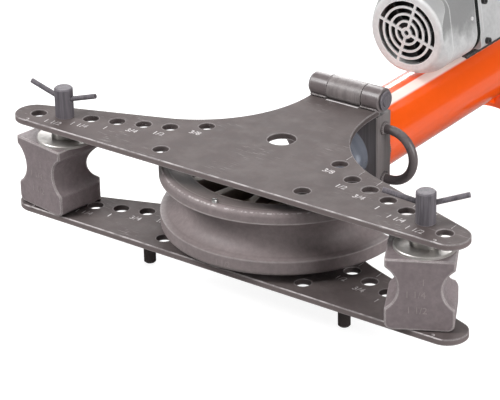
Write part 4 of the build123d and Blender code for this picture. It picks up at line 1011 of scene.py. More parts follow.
PALE_MARK = StampedMark(
    name="stamped_mark", tone=(0.56, 0.53, 0.53), shade=(0.17, 0.148, 0.148), rough=(0.45, 0.60),
    specular=0.2)
# Pale steel: the shell screws, and the strip that paints the highlight under the hinge.
PALE_STEEL_AND_HIGHLIGHT = StampedMark(
    name="pale_steel_and_highlight", tone=(0.86, 0.84, 0.84), shade=(0.72, 0.70, 0.70), rough=(0.40, 0.52))


class FinishShop:
    """Hands out materials, each made once."""

    def __init__(self) -> None:
        """Starts with the effects ready and no material made."""
        self.effects = EffectShop()
        self._made: dict[str, bpy.types.Material] = {}

    def get(self, finish: Finish) -> bpy.types.Material:
        """The material of a finish, made at its first use.

        Args:
            finish: Which finish.

        Returns:
            Its material.
        """
        if finish.name not in self._made:
            self._made[finish.name] = finish.material(self.effects)
        return self._made[finish.name]


# Meshes


def model_point(x: float, y: float, z: float) -> Vector:
    """Point of the model from millimetres about the wings' centre hole."""
    return Vector((x, y + CENTRE_HOLE_Y, z)) * MM


def finish_mesh(bm: bmesh.types.BMesh, name: str, smooth_below: float = 35.0) -> bpy.types.Mesh:
    """Turns a work mesh into a mesh with faces that look out.

    Args:
        bm: The work mesh, which is freed.
        name: Name of the mesh.
        smooth_below: Faces that meet at less than this angle shade smooth, in degrees.

    Returns:
        The mesh.
    """
    bmesh.ops.recalc_face_normals(bm, faces=bm.faces)
    mesh = bpy.data.meshes.new(name)
    limit = math.radians(smooth_below)
    for face in bm.faces:
        face.smooth = True
    for edge in bm.edges:
        edge.smooth = len(edge.link_faces) == 2 and edge.calc_face_angle(0.0) < limit
    bm.to_mesh(mesh)
    bm.free()
    return mesh


def arc(centre: Vector, across: Vector, up: Vector, radius: float, start: float, end: float,
        steps: int) -> list[Vector]:
    """Points on an arc.

    Args:
        centre: Middle of the arc.
        across: Direction at 0 degrees.
        up: Direction at 90 degrees.
        radius: Radius of the arc.
        start: First angle in degrees.
        end: Last angle in degrees.
        steps: Number of steps.

    Returns:
        The points, without the last one for a full turn.
    """
    count = steps if abs(end - start) >= FULL_TURN else steps + 1
    angles = [math.radians(start + (end - start) * i / steps) for i in range(count)]
    return [centre + (across * math.cos(a) + up * math.sin(a)) * radius for a in angles]


def circle(centre: Vector, across: Vector, up: Vector, radius: float, *, steps: int) -> list[Vector]:
    """Points on a full turn of an arc."""
    return arc(centre, across, up, radius, 0.0, FULL_TURN, steps)


def lettering(text: str, height: float, depth: float, bold: float = 0.0) -> bmesh.types.BMesh:
    """Numerals as a closed work mesh, centred on the origin, standing on Z = 0.

    Args:
        text: Digits to set.
        height: Height of the digits.
        depth: How far they stand up.
        bold: How far their outline grows.

    Returns:
        The work mesh.
    """
    curve = bpy.data.curves.new("numerals", "FONT")
    curve.body = text
    curve.size = height / DIGIT_SHARE
    curve.offset = bold
    curve.extrude = depth / 2
    curve.resolution_u = 3
    curve.align_x = "CENTER"
    curve.align_y = "CENTER"
    holder = bpy.data.objects.new("numerals", curve)
    bpy.context.scene.collection.objects.link(holder)
    graph = bpy.context.evaluated_depsgraph_get()
    mesh = bpy.data.meshes.new_from_object(holder.evaluated_get(graph))
    bm = bmesh.new()
    bm.from_mesh(mesh)
    bpy.data.objects.remove(holder)
    bpy.data.curves.remove(curve)
    bpy.data.meshes.remove(mesh)
    bmesh.ops.remove_doubles(bm, verts=bm.verts, dist=height * DIGIT_MERGE)
    bmesh.ops.translate(bm, verts=bm.verts, vec=(0.0, 0.0, depth / 2))
    return bm


def tablet(start: Vector, end: Vector, width: float, corner: float, depth: float) -> bmesh.types.BMesh:
    """A flat straight piece with round corners, standing on the level of its ends.

    Args:
        start: Middle of one end.
        end: Middle of the other end.
        width: Width of the piece.
        corner: Radius of its corners.
        depth: How far it stands up.

    Returns:
        The work mesh.
    """
    along = (end - start).normalized()
    side = Vector((-along.y, along.x, 0.0))
    inset = width / 2 - corner
    corners = [(end, 1, 1), (end, 1, -1), (start, -1, -1), (start, -1, 1)]
    outline = []
    for quarters, (tip, way, hand) in enumerate(corners, start=3):
        centre = tip - along * way * corner + side * hand * inset
        turn = -QUARTER_TURN * quarters
        outline += arc(centre, side, along, corner, turn + QUARTER_TURN, turn, CORNER_STEPS)
    return skin([outline, [point + Z_AXIS * depth for point in outline]])


def gather(parts: Iterable[bmesh.types.BMesh]) -> bmesh.types.BMesh:
    """Joins work meshes into one and frees them.

    Args:
        parts: The work meshes.

    Returns:
        One work mesh with all of them.
    """
    whole = bmesh.new()
    for part in parts:
        loose = bpy.data.meshes.new("loose")
        part.to_mesh(loose)
        part.free()
        whole.from_mesh(loose)
        bpy.data.meshes.remove(loose)
    return whole


def turned(profile: Sequence[tuple[float, float]], place: Matrix, steps: int = 32) -> bmesh.types.BMesh:
    """A closed piece turned about Z, then put in its place.

    Args:
        profile: Pairs of radius and height from the foot to the crown; both ends lie on the axis.
        place: Where the piece goes.
        steps: Facets round the axis.

    Returns:
        The work mesh.
    """
    bm = bmesh.new()
    foot = bm.verts.new((0.0, 0.0, profile[0][1]))
    crown = bm.verts.new((0.0, 0.0, profile[-1][1]))
    rings = []
    for radius, height in profile[1:-1]:
        points = circle(Z_AXIS * height, X_AXIS, Y_AXIS, radius, steps=steps)
        rings.append([bm.verts.new(point) for point in points])
    for i in range(steps):
        n = (i + 1) % steps
        bm.faces.new((foot, rings[0][n], rings[0][i]))
        bm.faces.new((crown, rings[-1][i], rings[-1][n]))
        for low, high in zip(rings, rings[1:]):
            bm.faces.new((low[i], low[n], high[n], high[i]))
    bmesh.ops.transform(bm, matrix=place, verts=bm.verts)
    return bm


def skin(rings: Sequence[Sequence[Vector]], closed: bool = False) -> bmesh.types.BMesh:
    """Work mesh over a row of rings.

    Args:
        rings: Rings with as many points each.
        closed: Whether the last ring meets the first; else both ends are capped.

    Returns:
        The work mesh.
    """
    bm = bmesh.new()
    loops = [[bm.verts.new(point) for point in ring] for ring in rings]
    pairs = list(zip(loops, loops[1:]))
    if closed:
        pairs.append((loops[-1], loops[0]))
    for low, high in pairs:
        for k in range(len(low)):
            n = (k + 1) % len(low)
            bm.faces.new((low[k], low[n], high[n], high[k]))
    if not closed:
        bm.faces.new(loops[0])
        bm.faces.new(reversed(loops[-1]))
    return bm


@dataclass
class Bead:
    """A weld bead along a path, in the corner between two surfaces."""

    path: list[Vector]
    first: Callable[[Vector], Vector]
    second: Callable[[Vector], Vector]
    size: float = 0.0035
    closed: bool = False
    ripple: float = 0.0021
    ripple_rise: float = 0.16
    ripple_steps: int = 4
    wavers: tuple[tuple[float, float], ...] = ((0.05, 410.0), (0.04, 1730.0))
    sides: int = 7
    root: float = 0.12
    reach: float = 0.88
    bulge: float = 0.16

    def stations(self) -> list[tuple[Vector, float]]:
        """Points at even steps along the path, with their distance from its start.

        Returns:
            Pairs of point and distance, a few to a ripple.
        """
        points = self.path + [self.path[0]] if self.closed else self.path
        lengths = [(b - a).length for a, b in zip(points, points[1:])]
        total = sum(lengths)
        count = max(self.ripple_steps, round(total / self.ripple * self.ripple_steps))
        found, run, index = [], 0.0, 0
        for step in range(count if self.closed else count + 1):
            at = total * step / count
            while index < len(lengths) - 1 and run + lengths[index] < at:
                run += lengths[index]
                index += 1
            share = (at - run) / lengths[index] if lengths[index] else 0.0
            found.append((points[index].lerp(points[index + 1], min(1.0, share)), at))
        return found

    def swell(self, along: float) -> float:
        """Share of the size that the bead has, with the scales of the weld pool and a slow waver.

        Args:
            along: Distance along the path.

        Returns:
            The share, about 1.
        """
        phase = (along / self.ripple) % 1.0
        waver = sum(share * math.sin(along * pace) for share, pace in self.wavers)
        return 1.0 + self.ripple_rise * (1.0 - phase) ** 2 + waver

    def section(self, point: Vector, along: float) -> list[Vector]:
        """Bulging quarter section at a station.

        Args:
            point: The station.
            along: Its distance along the path.

        Returns:
            Points round the section, the root of the corner first.
        """
        one, two = self.first(point).normalized(), self.second(point).normalized()
        reach = self.size * self.swell(along) * self.reach
        ring = [point - (one + two) * self.size * self.root]
        for side in range(self.sides + 1):
            angle = math.pi / 2 * side / self.sides
            bulge = 1.0 + self.bulge * math.sin(2 * angle)
            ring.append(point + (one * math.cos(angle) + two * math.sin(angle)) * reach * bulge)
        return ring

    def work_mesh(self) -> bmesh.types.BMesh:
        """Sweeps the section along the path."""
        return skin([self.section(*station) for station in self.stations()], self.closed)


def weld(name: str, *beads: Bead) -> bpy.types.Mesh:
    """One mesh of one or more beads."""
    return finish_mesh(gather(bead.work_mesh() for bead in beads), name, smooth_below=50.0)


# Sub-assemblies


@dataclass(frozen=True)
class Tube:
    """The lying cylinder that several sub-assemblies are welded to; in millimetres."""

    level: float = 108.5
    radius: float = 46.5

    def axis(self, y: float) -> Vector:
        """Point of its axis."""
        return model_point(0.0, y, self.level)


TUBE = Tube()


@dataclass
class SubAssembly(ABC):
    """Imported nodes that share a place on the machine, with the small pieces added to them."""

    coats: ClassVar[dict[Finish, tuple[str, ...]]]
    shop: FinishShop

    @abstractmethod
    def build(self) -> None:
        """Adds the small pieces of this sub-assembly."""

    def dress(self) -> None:
        """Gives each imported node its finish."""
        for finish, names in self.coats.items():
            for name in names:
                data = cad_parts[name].data
                data.materials.clear()
                data.materials.append(self.shop.get(finish))
            LOG.info("%s on %s", finish.name, ", ".join(names))

    def place(self, mesh: bpy.types.Mesh, finish: Finish) -> bpy.types.Object:
        """Puts a piece into the scene.

        Args:
            mesh: Its mesh, whose name the piece takes.
            finish: Its finish, whose material it gets.

        Returns:
            The piece, on no body yet.
        """
        piece = bpy.data.objects.new(mesh.name, mesh)
        bpy.context.scene.collection.objects.link(piece)
        mesh.materials.append(self.shop.get(finish))
        return piece

    def add(self, mesh: bpy.types.Mesh, body: Body, finish: Finish) -> None:
        """Adds a piece that rides on one body.

        Args:
            mesh: Its mesh, whose name the piece takes.
            body: The body that it rides on.
            finish: Its finish.
        """
        piece = self.place(mesh, finish)
        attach(piece, body.value)
        LOG.info("%s rides on %s, %d faces", piece.name, body.value, len(mesh.polygons))


@dataclass
class Wings(SubAssembly):
    """Upper and lower wing plates with their knuckles, feet, size marks and ticks; in millimetres."""

    row: tuple[float, float] = (135.9, -47.6)
    pitch: float = 34.8
    slope: float = 19.5
    inner_hole: tuple[float, float] = (99.6, -20.4)
    sizes: tuple[str, ...] = ("3/8", "1/2", "3/4", "1", "1 1/4", "1 1/2", "2")
    mark_ahead: float = 24.0
    mark_height: float = 9.0
    mark_bold: float = 0.06
    mark_turn: float = 4.0
    mark_depth: float = 0.12
    tick_from: float = 13.5
    tick_to: float = 26.0
    tick_width: float = 1.3
    tick_round: float = 0.4
    upper_top: float = 175.6
    lower_top: float = 55.0
    lower_base: float = 47.0
    foot: tuple[float, float] = (148.0, -82.7)
    foot_radius: float = 7.75
    weld_line: float = 136.2
    weld_span: tuple[float, float] = (27.0, 49.2)
    barrel_lean: tuple[float, float, float] = (0.0, -0.656, 0.754)
    land_edge: float = 134.0
    land_half: float = 24.0
    land_width: float = 7.0
    land_corner: float = 1.2

    coats = {
        PLATE_PAINT: ("upper_wing_plate", "lower_wing_plate"),
        WING_PAINT: pair("front_foot"),
        BARREL_PAINT: pair("wing_knuckle"),
    }

    def holes(self, side: Side) -> list[tuple[float, float]]:
        """Places of the pin holes of a wing.

        Args:
            side: Which wing.

        Returns:
            Places from the inside outwards.
        """
        lean = math.radians(self.slope)
        steps = [i * self.pitch for i in range(len(self.sizes) - 1)]
        row = [(self.row[0] + s * math.cos(lean), self.row[1] - s * math.sin(lean)) for s in steps]
        return [(side.value * x, y) for x, y in [self.inner_hole] + row]

    def build(self) -> None:
        """Adds size marks, ticks, the pale strip that paints the highlight under the hinge, and the welds
        of knuckles and feet.
        """
        plates = (("upper", Body.UPPER_WING, self.upper_top), ("lower", Body.FRAME, self.lower_top))
        for word, body, top in plates:
            self.add(self.size_marks(word, top), body, PALE_MARK)
            self.add(self.ticks(word, top), body, PALE_MARK)
        # Painted highlight under the yoke's knuckle.
        self.add(self.hinge_highlight_strip(), Body.UPPER_WING, PALE_STEEL_AND_HIGHLIGHT)
        for side in Side:
            self.add(self.knuckle_weld(side), Body.UPPER_WING, WING_PAINT)
            self.add(self.foot_weld(side), Body.FRAME, WING_PAINT)

    def size_marks(self, word: str, top: float) -> bpy.types.Mesh:
        """Pipe sizes in front of the holes of both wings.

        Args:
            word: Which plate.
            top: Level of its upper face.

        Returns:
            One mesh with all sizes.
        """
        parts = []
        for side in Side:
            turn = rotation(-self.mark_turn * side.value, "Z")
            for text, (x, y) in zip(self.sizes, self.holes(side)):
                part = lettering(text, self.mark_height * MM, self.mark_depth * MM, self.mark_bold * MM)
                place = Matrix.Translation(model_point(x, y - self.mark_ahead, top)) @ turn
                bmesh.ops.transform(part, matrix=place, verts=part.verts)
                parts.append(part)
        return finish_mesh(gather(parts), "size_marks_" + word)

    def ticks(self, word: str, top: float) -> bpy.types.Mesh:
        """Lines from the holes of the right wing back to its rear edge.

        Args:
            word: Which plate.
            top: Level of its upper face.

        Returns:
            One mesh with all lines.
        """
        width = self.tick_width * MM
        parts = []
        for x, y in self.holes(Side.RIGHT):
            start, end = model_point(x, y + self.tick_from, top), model_point(x, y + self.tick_to, top)
            parts.append(tablet(start, end, width, width * self.tick_round, self.mark_depth * MM))
        return finish_mesh(gather(parts), "hole_ticks_" + word)

    def hinge_highlight_strip(self) -> bpy.types.Mesh:
        """Painted highlight: a pale ground strip on the upper plate, along the notch of the yoke's knuckle.

        Returns:
            The strip's mesh.
        """
        y = self.land_edge - self.land_width / 2
        ends = [model_point(x, y, self.upper_top) for x in (-self.land_half, self.land_half)]
        strip = tablet(*ends, self.land_width * MM, self.land_corner * MM, self.mark_depth * MM)
        return finish_mesh(strip, "hinge_highlight_strip")

    def knuckle_weld(self, side: Side) -> bpy.types.Mesh:
        """Bead between the upper plate and an outer knuckle.

        Args:
            side: Which knuckle.

        Returns:
            The bead's mesh.
        """
        ends = [model_point(side.value * x, self.weld_line, self.upper_top) for x in self.weld_span]
        barrel = Vector(self.barrel_lean)
        bead = Bead(ends, lambda p: -Y_AXIS, lambda p: barrel, size=0.0042)
        return weld("knuckle_weld_" + side.word, bead)

    def foot_weld(self, side: Side) -> bpy.types.Mesh:
        """Ring bead round the top of a front foot.

        Args:
            side: Which foot.

        Returns:
            The bead's mesh.
        """
        centre = model_point(side.value * self.foot[0], self.foot[1], self.lower_base)
        ring = circle(centre, X_AXIS, Y_AXIS, self.foot_radius * MM, steps=72)
        bead = Bead(ring, lambda p: p - centre, lambda p: -Z_AXIS, size=0.0038, closed=True)
        return weld("foot_weld_" + side.word, bead)


@dataclass
class YokeAndHinge(SubAssembly):
    """Yoke block with the hinge pin and the two carrying handles; in millimetres."""

    half_width: float = 52.0
    front: float = 132.5
    base: float = 55.0
    foot_half: float = 48.0
    hinge_y: float = 148.25
    handle_z: float = 113.5
    handle_bow: float = 34.5
    bar_radius: float = 6.0

    coats = {
        MILLED_PAINT: ("yoke_block",),
        BARREL_PAINT: pair("carry_handle"),
        PIN_STEEL: ("hinge_pin", "hinge_washers"),
    }

    def build(self) -> None:
        """Adds the ring beads at the ends of the handles and the bead along the yoke's foot."""
        for side in Side:
            beads = [self.handle_weld(side, rise) for rise in (-1, 1)]
            self.add(weld("handle_welds_" + side.word, *beads), Body.FRAME, WING_PAINT)
        ends = [model_point(x, self.front, self.base) for x in (-self.foot_half, self.foot_half)]
        bead = Bead(ends, lambda p: -Y_AXIS, lambda p: Z_AXIS, size=0.005, ripple=0.0026)
        self.add(weld("yoke_weld", bead), Body.FRAME, WING_PAINT)

    def handle_weld(self, side: Side, rise: int) -> Bead:
        """Ring bead where a handle's bar meets the yoke.

        Args:
            side: Which handle.
            rise: 1 for its upper end and -1 for its lower one.

        Returns:
            The bead.
        """
        level = self.handle_z + rise * self.handle_bow
        centre = model_point(side.value * self.half_width, self.hinge_y, level)
        ring = circle(centre, Y_AXIS, Z_AXIS, self.bar_radius * MM, steps=64)
        return Bead(ring, lambda p: p - centre, lambda p: X_AXIS * side.value, size=0.0032, closed=True)


@dataclass
class RamAndFormer(SubAssembly):
    """Cylinder with its nose, ram and end cap, and the half-wheel former; in millimetres."""

    yoke_back: float = 164.0
    tube_end: float = 549.0
    seam_lean: float = 0.45
    former_y: float = 5.0
    former_radius: float = 155.0
    former_top: float = 147.5
    peg_place: tuple[float, float] = (3.0, -141.2)
    peg_radius: float = 3.4
    peg_height: float = 4.2
    peg_root: float = 0.5
    peg_crown: tuple[tuple[float, float], ...] = ((1.0, 0.78), (0.9, 0.93), (0.7, 1.0))
    rim_text: str = "1 1/2"
    rim_mark: float = 7.5
    rim_depth: float = 0.3
    rim_sunk: float = 0.1
    rim_level: float = 73.5
    rim_turn: float = 6.5
    spring_wire: float = 8.0
    spring_turns: int = 9
    spring_steps: int = 36
    wire_sides: int = 12

    coats = {
        TUBE_ENAMEL: ("cylinder_tube",),
        ORANGE_ENAMEL: ("cylinder_end_cap",),
        RAM_STEEL: ("cylinder_nose", "ram_rod"),
        TURNED_STEEL: ("piston", "return_spring"),
        RUBBER: ("rod_wiper", "rod_seal", "piston_seal"),
        FORMER_PAINT: ("former",),
    }

    def build(self) -> None:
        """Adds the beads of the tube, the former's peg and size, and the spring."""
        self.add(self.tube_weld(), Body.FRAME, WING_PAINT)
        self.add(self.cap_weld(), Body.FRAME, ORANGE_ENAMEL)
        self.add(self.peg(), Body.RAM, TURNED_STEEL)
        self.add(self.rim_size(), Body.RAM, CAST_NUMERAL)
        self.fit_spring()

    def ring(self, centre: Vector) -> list[Vector]:
        """Circle on the outside of the tube about a point of its axis."""
        return circle(centre, X_AXIS, Z_AXIS, TUBE.radius * MM, steps=160)

    def tube_weld(self) -> bpy.types.Mesh:
        """Bead round the tube at the yoke's back.

        Returns:
            The bead's mesh.
        """
        centre = TUBE.axis(self.yoke_back)
        bead = Bead(self.ring(centre), lambda p: p - centre, lambda p: Y_AXIS, size=0.0045, closed=True,
                    ripple=0.0026)
        return weld("tube_weld", bead)

    def cap_weld(self) -> bpy.types.Mesh:
        """Low painted bead over the seam of the end cap.

        Returns:
            The bead's mesh.
        """
        centre = TUBE.axis(self.tube_end)

        def leaning(way: int) -> Callable[[Vector], Vector]:
            """Direction out of the tube that leans along it."""
            return lambda p: (p - centre).normalized() * self.seam_lean + Y_AXIS * way

        bead = Bead(self.ring(centre), leaning(-1), leaning(1), size=0.0028, closed=True, ripple=0.003)
        return weld("cap_weld", bead)

    def peg(self) -> bpy.types.Mesh:
        """Round peg on the ledge, at the middle of the bend.

        Returns:
            The peg's mesh.
        """
        radius, height, root = self.peg_radius * MM, self.peg_height * MM, -self.peg_root * MM
        crown = [(radius * out, height * up) for out, up in self.peg_crown]
        profile = [(0.0, root), (radius, root), *crown, (0.0, height)]
        place = Matrix.Translation(model_point(*self.peg_place, self.former_top))
        return finish_mesh(turned(profile, place), "bend_middle_peg")

    def rim_size(self) -> bpy.types.Mesh:
        """Cast pipe size that follows the round of the former's lower flange.

        Returns:
            The numerals' mesh.
        """
        bm = lettering(self.rim_text, self.rim_mark * MM, self.rim_depth * MM)
        radius = self.former_radius * MM
        centre = model_point(0.0, self.former_y, self.rim_level)
        for vert in bm.verts:
            turn = math.radians(self.rim_turn) + vert.co.x / radius
            out = radius - self.rim_sunk * MM + vert.co.z
            vert.co = centre + Vector((out * math.sin(turn), -out * math.cos(turn), vert.co.y))
        return finish_mesh(bm, "rim_size_mark")

    def fit_spring(self) -> None:
        """Adds the return spring, wound between the nose and the piston in place of the solid one, which is
        hidden.
        """
        low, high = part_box("return_spring")
        piece = self.place(self.spring(low, high), TURNED_STEEL)
        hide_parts("return_spring")
        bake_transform(piece)
        LOG.info("%s shortens between %s and %s", piece.name, Body.FRAME.value, Body.RAM.value)

    def spring(self, low: Vector, high: Vector) -> bpy.types.Mesh:
        """Round wire wound about the ram.

        Args:
            low: Lowest corner of the room for the spring.
            high: Highest corner of it.

        Returns:
            The spring's mesh.
        """
        wire = self.spring_wire / 2 * MM
        middle = (low + high) / 2
        mean = (high.x - low.x) / 2 - wire
        steps = self.spring_turns * self.spring_steps
        rings = []
        for step in range(steps + 1):
            share = step / steps
            turn = 2 * math.pi * self.spring_turns * share
            out = X_AXIS * math.cos(turn) + Z_AXIS * math.sin(turn)
            along = low.y + wire + (high.y - low.y - 2 * wire) * share
            centre = Vector((middle.x, along, middle.z)) + out * mean
            rings.append(circle(centre, out, Y_AXIS, wire, steps=self.wire_sides))
        return finish_mesh(skin(rings), "coil_spring")


@dataclass
class BlocksAndPins(SubAssembly):
    """Support blocks with their bushes, and the wing pins with their tommy bars; in millimetres."""

    pin: tuple[float, float] = (267.12, -94.07)
    front: float = 38.0
    base: float = 55.3
    turns: tuple[float, float] = (-9.0, 28.0)
    shifts: tuple[float, float] = (-12.0, -3.0)
    sizes: tuple[tuple[str, float, float], ...] = (
        ("1", 4.0, 62.0), ("1 1/4", -5.0, 46.0), ("1 1/2", -3.0, 26.0))
    mark_height: float = 8.5
    mark_depth: float = 0.35
    mark_sunk: float = 0.05

    coats = {
        CAST_PAINT: pair("support_block"),
        ZINC_PLATE: pair("block_bush"),
        PIN_STEEL: (*pair("wing_pin"), *pair("tommy_bar")),
    }

    def build(self) -> None:
        """Adds the cast sizes on the front of each block."""
        bodies = (Body.BLOCK_LEFT, Body.BLOCK_RIGHT)
        for side, body, turn, shift in zip(Side, bodies, self.turns, self.shifts):
            self.add(self.cast_sizes(side, turn, shift), body, CAST_NUMERAL)

    def cast_sizes(self, side: Side, turn: float, shift: float) -> bpy.types.Mesh:
        """Raised pipe sizes on the front face of a block.

        Args:
            side: Which block.
            turn: Its turn about the pin in degrees.
            shift: Its middle from the pin, along its front.

        Returns:
            One mesh with all sizes.
        """
        pin = Matrix.Translation(model_point(side.value * self.pin[0], self.pin[1], self.base))
        block = pin @ rotation(turn, "Z")
        upright = rotation(QUARTER_TURN, "X")
        parts = []
        for text, x, z in self.sizes:
            part = lettering(text, self.mark_height * MM, self.mark_depth * MM)
            spot = Matrix.Translation(Vector((shift + x, -self.front + self.mark_sunk, z)) * MM)
            bmesh.ops.transform(part, matrix=block @ spot @ upright, verts=part.verts)
            parts.append(part)
        return finish_mesh(gather(parts), "cast_sizes_" + side.word)


@dataclass
class MotorPump(SubAssembly):
    """Motor, pump housing, saddle, release valve and switch; in millimetres."""

    saddle: tuple[float, float, float] = (18.0, 395.0, 490.0)
    saddle_inset: float = 1.5
    switch_face: float = -88.0
    switch_middle: tuple[float, float] = (431.0, 222.9)
    screw_inset: tuple[float, float] = (24.0, 22.0)
    screw_radius: float = 3.1
    screw_spins: tuple[float, float] = (37.0, 61.0)
    screw_slot: float = 0.5
    slot_floor: float = 0.6
    slot_reach: float = 0.97
    head_levels: tuple[tuple[float, float], ...] = ((1.0, -0.4), (1.0, 0.9), (0.86, 1.5), (0.55, 1.9))
    head_steps: int = 14
    shell_screw: tuple[float, float, float] = (53.9, 353.0, 229.5)
    shell_lean: float = 8.0
    shell_screw_radius: float = 2.7

    coats = {
        MOTOR_ALLOY: ("fan_cover", "motor_shell", "motor_end_shield"),
        HOUSING_ALLOY: ("pump_housing",),
        REAR_ALLOY: ("pump_rear_cover",),
        BLACK_PAINT: ("housing_bolts", "cover_bolts", "mounting_saddle", "release_lever"),
        TURNED_STEEL: ("front_bearing", "rear_bearing", "motor_shaft", "pump_block", "pump_plungers",
                       "pressure_pipe", "pipe_unions", "release_valve_body"),
        COPPER: ("stator_windings",),
        CORE_STEEL: ("stator_core", "rotor_core"),
        RUBBER: ("motor_gasket",),
        BLACK_PLASTIC: ("cooling_fan", "filler_cap", "switch_box", "cable_gland"),
        GREEN_PLASTIC: ("start_button",),
    }

    def build(self) -> None:
        """Adds the beads of the saddle and the screws of the switch box and the motor's shell."""
        for side in Side:
            self.add(self.saddle_weld(side), Body.FRAME, BLACK_PAINT)
        self.add(self.switch_screws(), Body.FRAME, TURNED_STEEL)
        self.add(self.shell_screws(), Body.FRAME, PALE_STEEL_AND_HIGHLIGHT)

    def saddle_weld(self, side: Side) -> bpy.types.Mesh:
        """Bead along the saddle's foot on the cylinder.

        Args:
            side: Which foot.

        Returns:
            The bead's mesh.
        """
        x, front, back = self.saddle
        lift = math.sqrt(TUBE.radius ** 2 - x ** 2)
        rows = (front + self.saddle_inset, back - self.saddle_inset)
        ends = [model_point(side.value * x, y, TUBE.level + lift) for y in rows]
        slope = Vector((side.value * lift, 0.0, -x))
        bead = Bead(ends, lambda p: slope, lambda p: Z_AXIS, size=0.0042, ripple=0.0024)
        return weld("saddle_weld_" + side.word, bead)

    def switch_screws(self) -> bpy.types.Mesh:
        """Slotted screws at the corners of the switch box.

        Returns:
            One mesh with all four.
        """
        turn = rotation(-QUARTER_TURN, "Y")
        level, upright = self.screw_spins
        parts = []
        for along in (-1, 1):
            for rise in (-1, 1):
                y = self.switch_middle[0] + along * self.screw_inset[0]
                z = self.switch_middle[1] + rise * self.screw_inset[1]
                spin = rotation(level * along + upright * rise, "Z")
                place = Matrix.Translation(model_point(self.switch_face, y, z))
                parts.append(self.slotted_head(place @ turn @ spin, self.screw_radius))
        return finish_mesh(gather(parts), "switch_screws")

    def shell_screws(self) -> bpy.types.Mesh:
        """Slotted screws on both sides of the motor's shell, just ahead of the joint.

        Returns:
            One mesh with both.
        """
        x, y, z = self.shell_screw
        parts = []
        for side in Side:
            lean = rotation(side.value * (QUARTER_TURN - self.shell_lean), "Y")
            place = Matrix.Translation(model_point(side.value * x, y, z))
            parts.append(self.slotted_head(place @ lean, self.shell_screw_radius))
        return finish_mesh(gather(parts), "shell_screws")

    def slotted_head(self, place: Matrix, radius: float) -> bmesh.types.BMesh:
        """Domed screw head with a straight slot.

        Args:
            place: Where the head goes.
            radius: Radius of the head in millimetres.

        Returns:
            The work mesh, of two half domes and the floor of the slot between them.
        """
        levels = [(share * radius * MM, height * MM) for share, height in self.head_levels]
        slot, floor, root = self.screw_slot * MM, self.slot_floor * MM, levels[0][1]
        bm = bmesh.new()
        for half in (-1, 1):
            rings = []
            for out, height in levels:
                edge = math.degrees(math.acos(slot / out))
                rim = arc(Z_AXIS * height, X_AXIS * half, Y_AXIS, out, -edge, edge, self.head_steps)
                rings.append([bm.verts.new(point) for point in rim])
            for low, high in zip(rings, rings[1:]):
                for i in range(self.head_steps):
                    bm.faces.new((low[i], low[i + 1], high[i + 1], high[i]))
            bm.faces.new(rings[-1])
            bm.faces.new(rings[0])
            bm.faces.new([ring[0] for ring in rings] + [ring[-1] for ring in reversed(rings)])
        reach = radius * MM * self.slot_reach
        bar = bmesh.ops.create_cube(bm, size=1.0)["verts"]
        stretch = Matrix.Diagonal((2 * slot, 2 * reach, floor - root, 1.0))
        middle = Matrix.Translation((0.0, 0.0, (floor + root) / 2))
        bmesh.ops.transform(bm, matrix=middle @ stretch, verts=bar)
        bmesh.ops.transform(bm, matrix=place, verts=bm.verts)
        return bm


@dataclass
class RearStand(SubAssembly):
    """Welded stand under the rear of the cylinder; in millimetres."""

    front: float = 505.0
    thickness: float = 6.0
    wrap: float = 58.0

    coats = {ORANGE_ENAMEL: ("rear_stand",), RUBBER: pair("rear_foot")}

    def build(self) -> None:
        """Adds the beads along both faces of the web."""
        for name, y, way in (("front", self.front, -1), ("back", self.front + self.thickness, 1)):
            self.add(self.web_weld("stand_weld_" + name, y, way), Body.FRAME, ORANGE_ENAMEL)

    def web_weld(self, name: str, y: float, way: int) -> bpy.types.Mesh:
        """Bead under the tube, along one face of the web.

        Args:
            name: Name of the mesh.
            y: Where the face stands.
            way: Sign of Y that the face looks to.

        Returns:
            The bead's mesh.
        """
        centre = TUBE.axis(y)
        path = arc(centre, -Z_AXIS, X_AXIS, TUBE.radius * MM, -self.wrap, self.wrap, steps=60)
        bead = Bead(path, lambda p: Y_AXIS * way, lambda p: p - centre, size=0.0042, ripple=0.0026)
        return weld(name, bead)


# Studio


@dataclass(frozen=True)
class SoftBox:
    """A square soft light that faces the machine."""

    name: str
    place: tuple[float, float, float]
    size: float
    power: float

    def build(self, target: Vector) -> None:
        """Adds the light.

        Args:
            target: Point that it faces.
        """
        lamp = bpy.data.lights.new(self.name, "AREA")
        lamp.shape = "SQUARE"
        lamp.size = self.size
        lamp.energy = self.power
        holder = bpy.data.objects.new(self.name, lamp)
        holder.location = self.place
        holder.rotation_euler = (target - Vector(self.place)).to_track_quat("-Z", "Y").to_euler()
        bpy.context.scene.collection.objects.link(holder)


